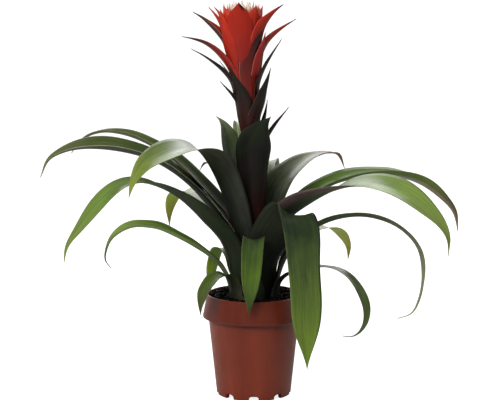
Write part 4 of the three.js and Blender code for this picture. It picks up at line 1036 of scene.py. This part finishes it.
# Floor and light
# A plain pale studio: a white floor that runs out of sight, a bright wall of light behind the
# plant and weak light from the front, so that the rosette's heart stays dark.
FLOOR_HALF = 60
PLANT_MIDDLE = Vector((0, 0, 0.25))
floor_corners = [(x * FLOOR_HALF, y * FLOOR_HALF, 0) for x, y in ((-1, -1), (1, -1), (1, 1), (-1, 1))]
floor_mesh = bpy.data.meshes.new("floor")
floor_mesh.from_pydata(floor_corners, [], [(0, 1, 2, 3)])
floor = bpy.data.objects.new("floor", floor_mesh)
bpy.context.collection.objects.link(floor)
floor_material, floor_tree = new_material("white_floor")
floor_looks = {"Base Color": linear("a6a6a4"), "Roughness": 0.9, "Specular IOR Level": 0.1}
floor_paint = node(floor_tree, "BsdfPrincipled", floor_looks)
floor_glow = node(floor_tree, "Emission", {"Color": linear("ffffff"), "Strength": 0.85})
floor_lit = node(floor_tree, "AddShader", {0: floor_paint, 1: floor_glow})
floor_seen = node(floor_tree, "LightPath").outputs["Is Camera Ray"]
surface(floor_tree, node(floor_tree, "MixShader", {"Fac": floor_seen, 1: floor_paint, 2: floor_lit}))
floor_mesh.materials.append(floor_material)

world = bpy.data.worlds.new("studio")
bpy.context.scene.world = world
world.use_nodes = True
sky = world.node_tree
sky.nodes.clear()
sky_output = sky.nodes.new("ShaderNodeOutputWorld")
direction = node(sky, "TexCoord").outputs["Generated"]
_, backward, upward = node(sky, "SeparateXYZ", {"Vector": direction}).outputs
from_behind = node(sky, "MapRange", {"Value": backward, **spread(0.5, 0.95, 0, 1.5)})
from_above = node(sky, "MapRange", {"Value": upward, **spread(0.1, 0.9, 0.12, 0.7)})
wall_and_roof = node(sky, "Math", {0: from_behind, 1: from_above}, operation="ADD")
sky_light = node(sky, "Background", {"Color": linear("ffffff"), "Strength": wall_and_roof})
sky_seen = node(sky, "Background", {"Color": linear("ffffff"), "Strength": 1.0})
seen = node(sky, "LightPath").outputs["Is Camera Ray"]
sky_mix = node(sky, "MixShader", {"Fac": seen, 1: sky_light, 2: sky_seen})
sky.links.new(sky_mix.outputs[0], sky_output.inputs["Surface"])


def softbox(name, place, width, height, watts, glossy=True):
    """A rectangular area light that faces the plant, with or without a reflection of it."""
    data = bpy.data.lights.new(name, "AREA")
    data.shape = "RECTANGLE"
    data.size, data.size_y, data.energy = width, height, watts
    light = bpy.data.objects.new(name, data)
    light.location = place
    light.rotation_euler = (PLANT_MIDDLE - light.location).to_track_quat("-Z", "Y").to_euler()
    light.visible_glossy = glossy
    bpy.context.collection.objects.link(light)


softbox("softbox_above", (0, 1.5, 1.3), 1.8, 0.9, 20)
softbox("softbox_front", (-1.15, -1.9, 1.55), 1.4, 1.0, 66, glossy=False)
softbox("softbox_left", (-1.6, 0.3, 0.6), 0.5, 1.2, 2)
softbox("softbox_right", (1.6, 0.3, 0.6), 0.5, 1.2, 2)

bpy.context.scene.view_settings.view_transform = "Standard"
bpy.context.view_layer.update()
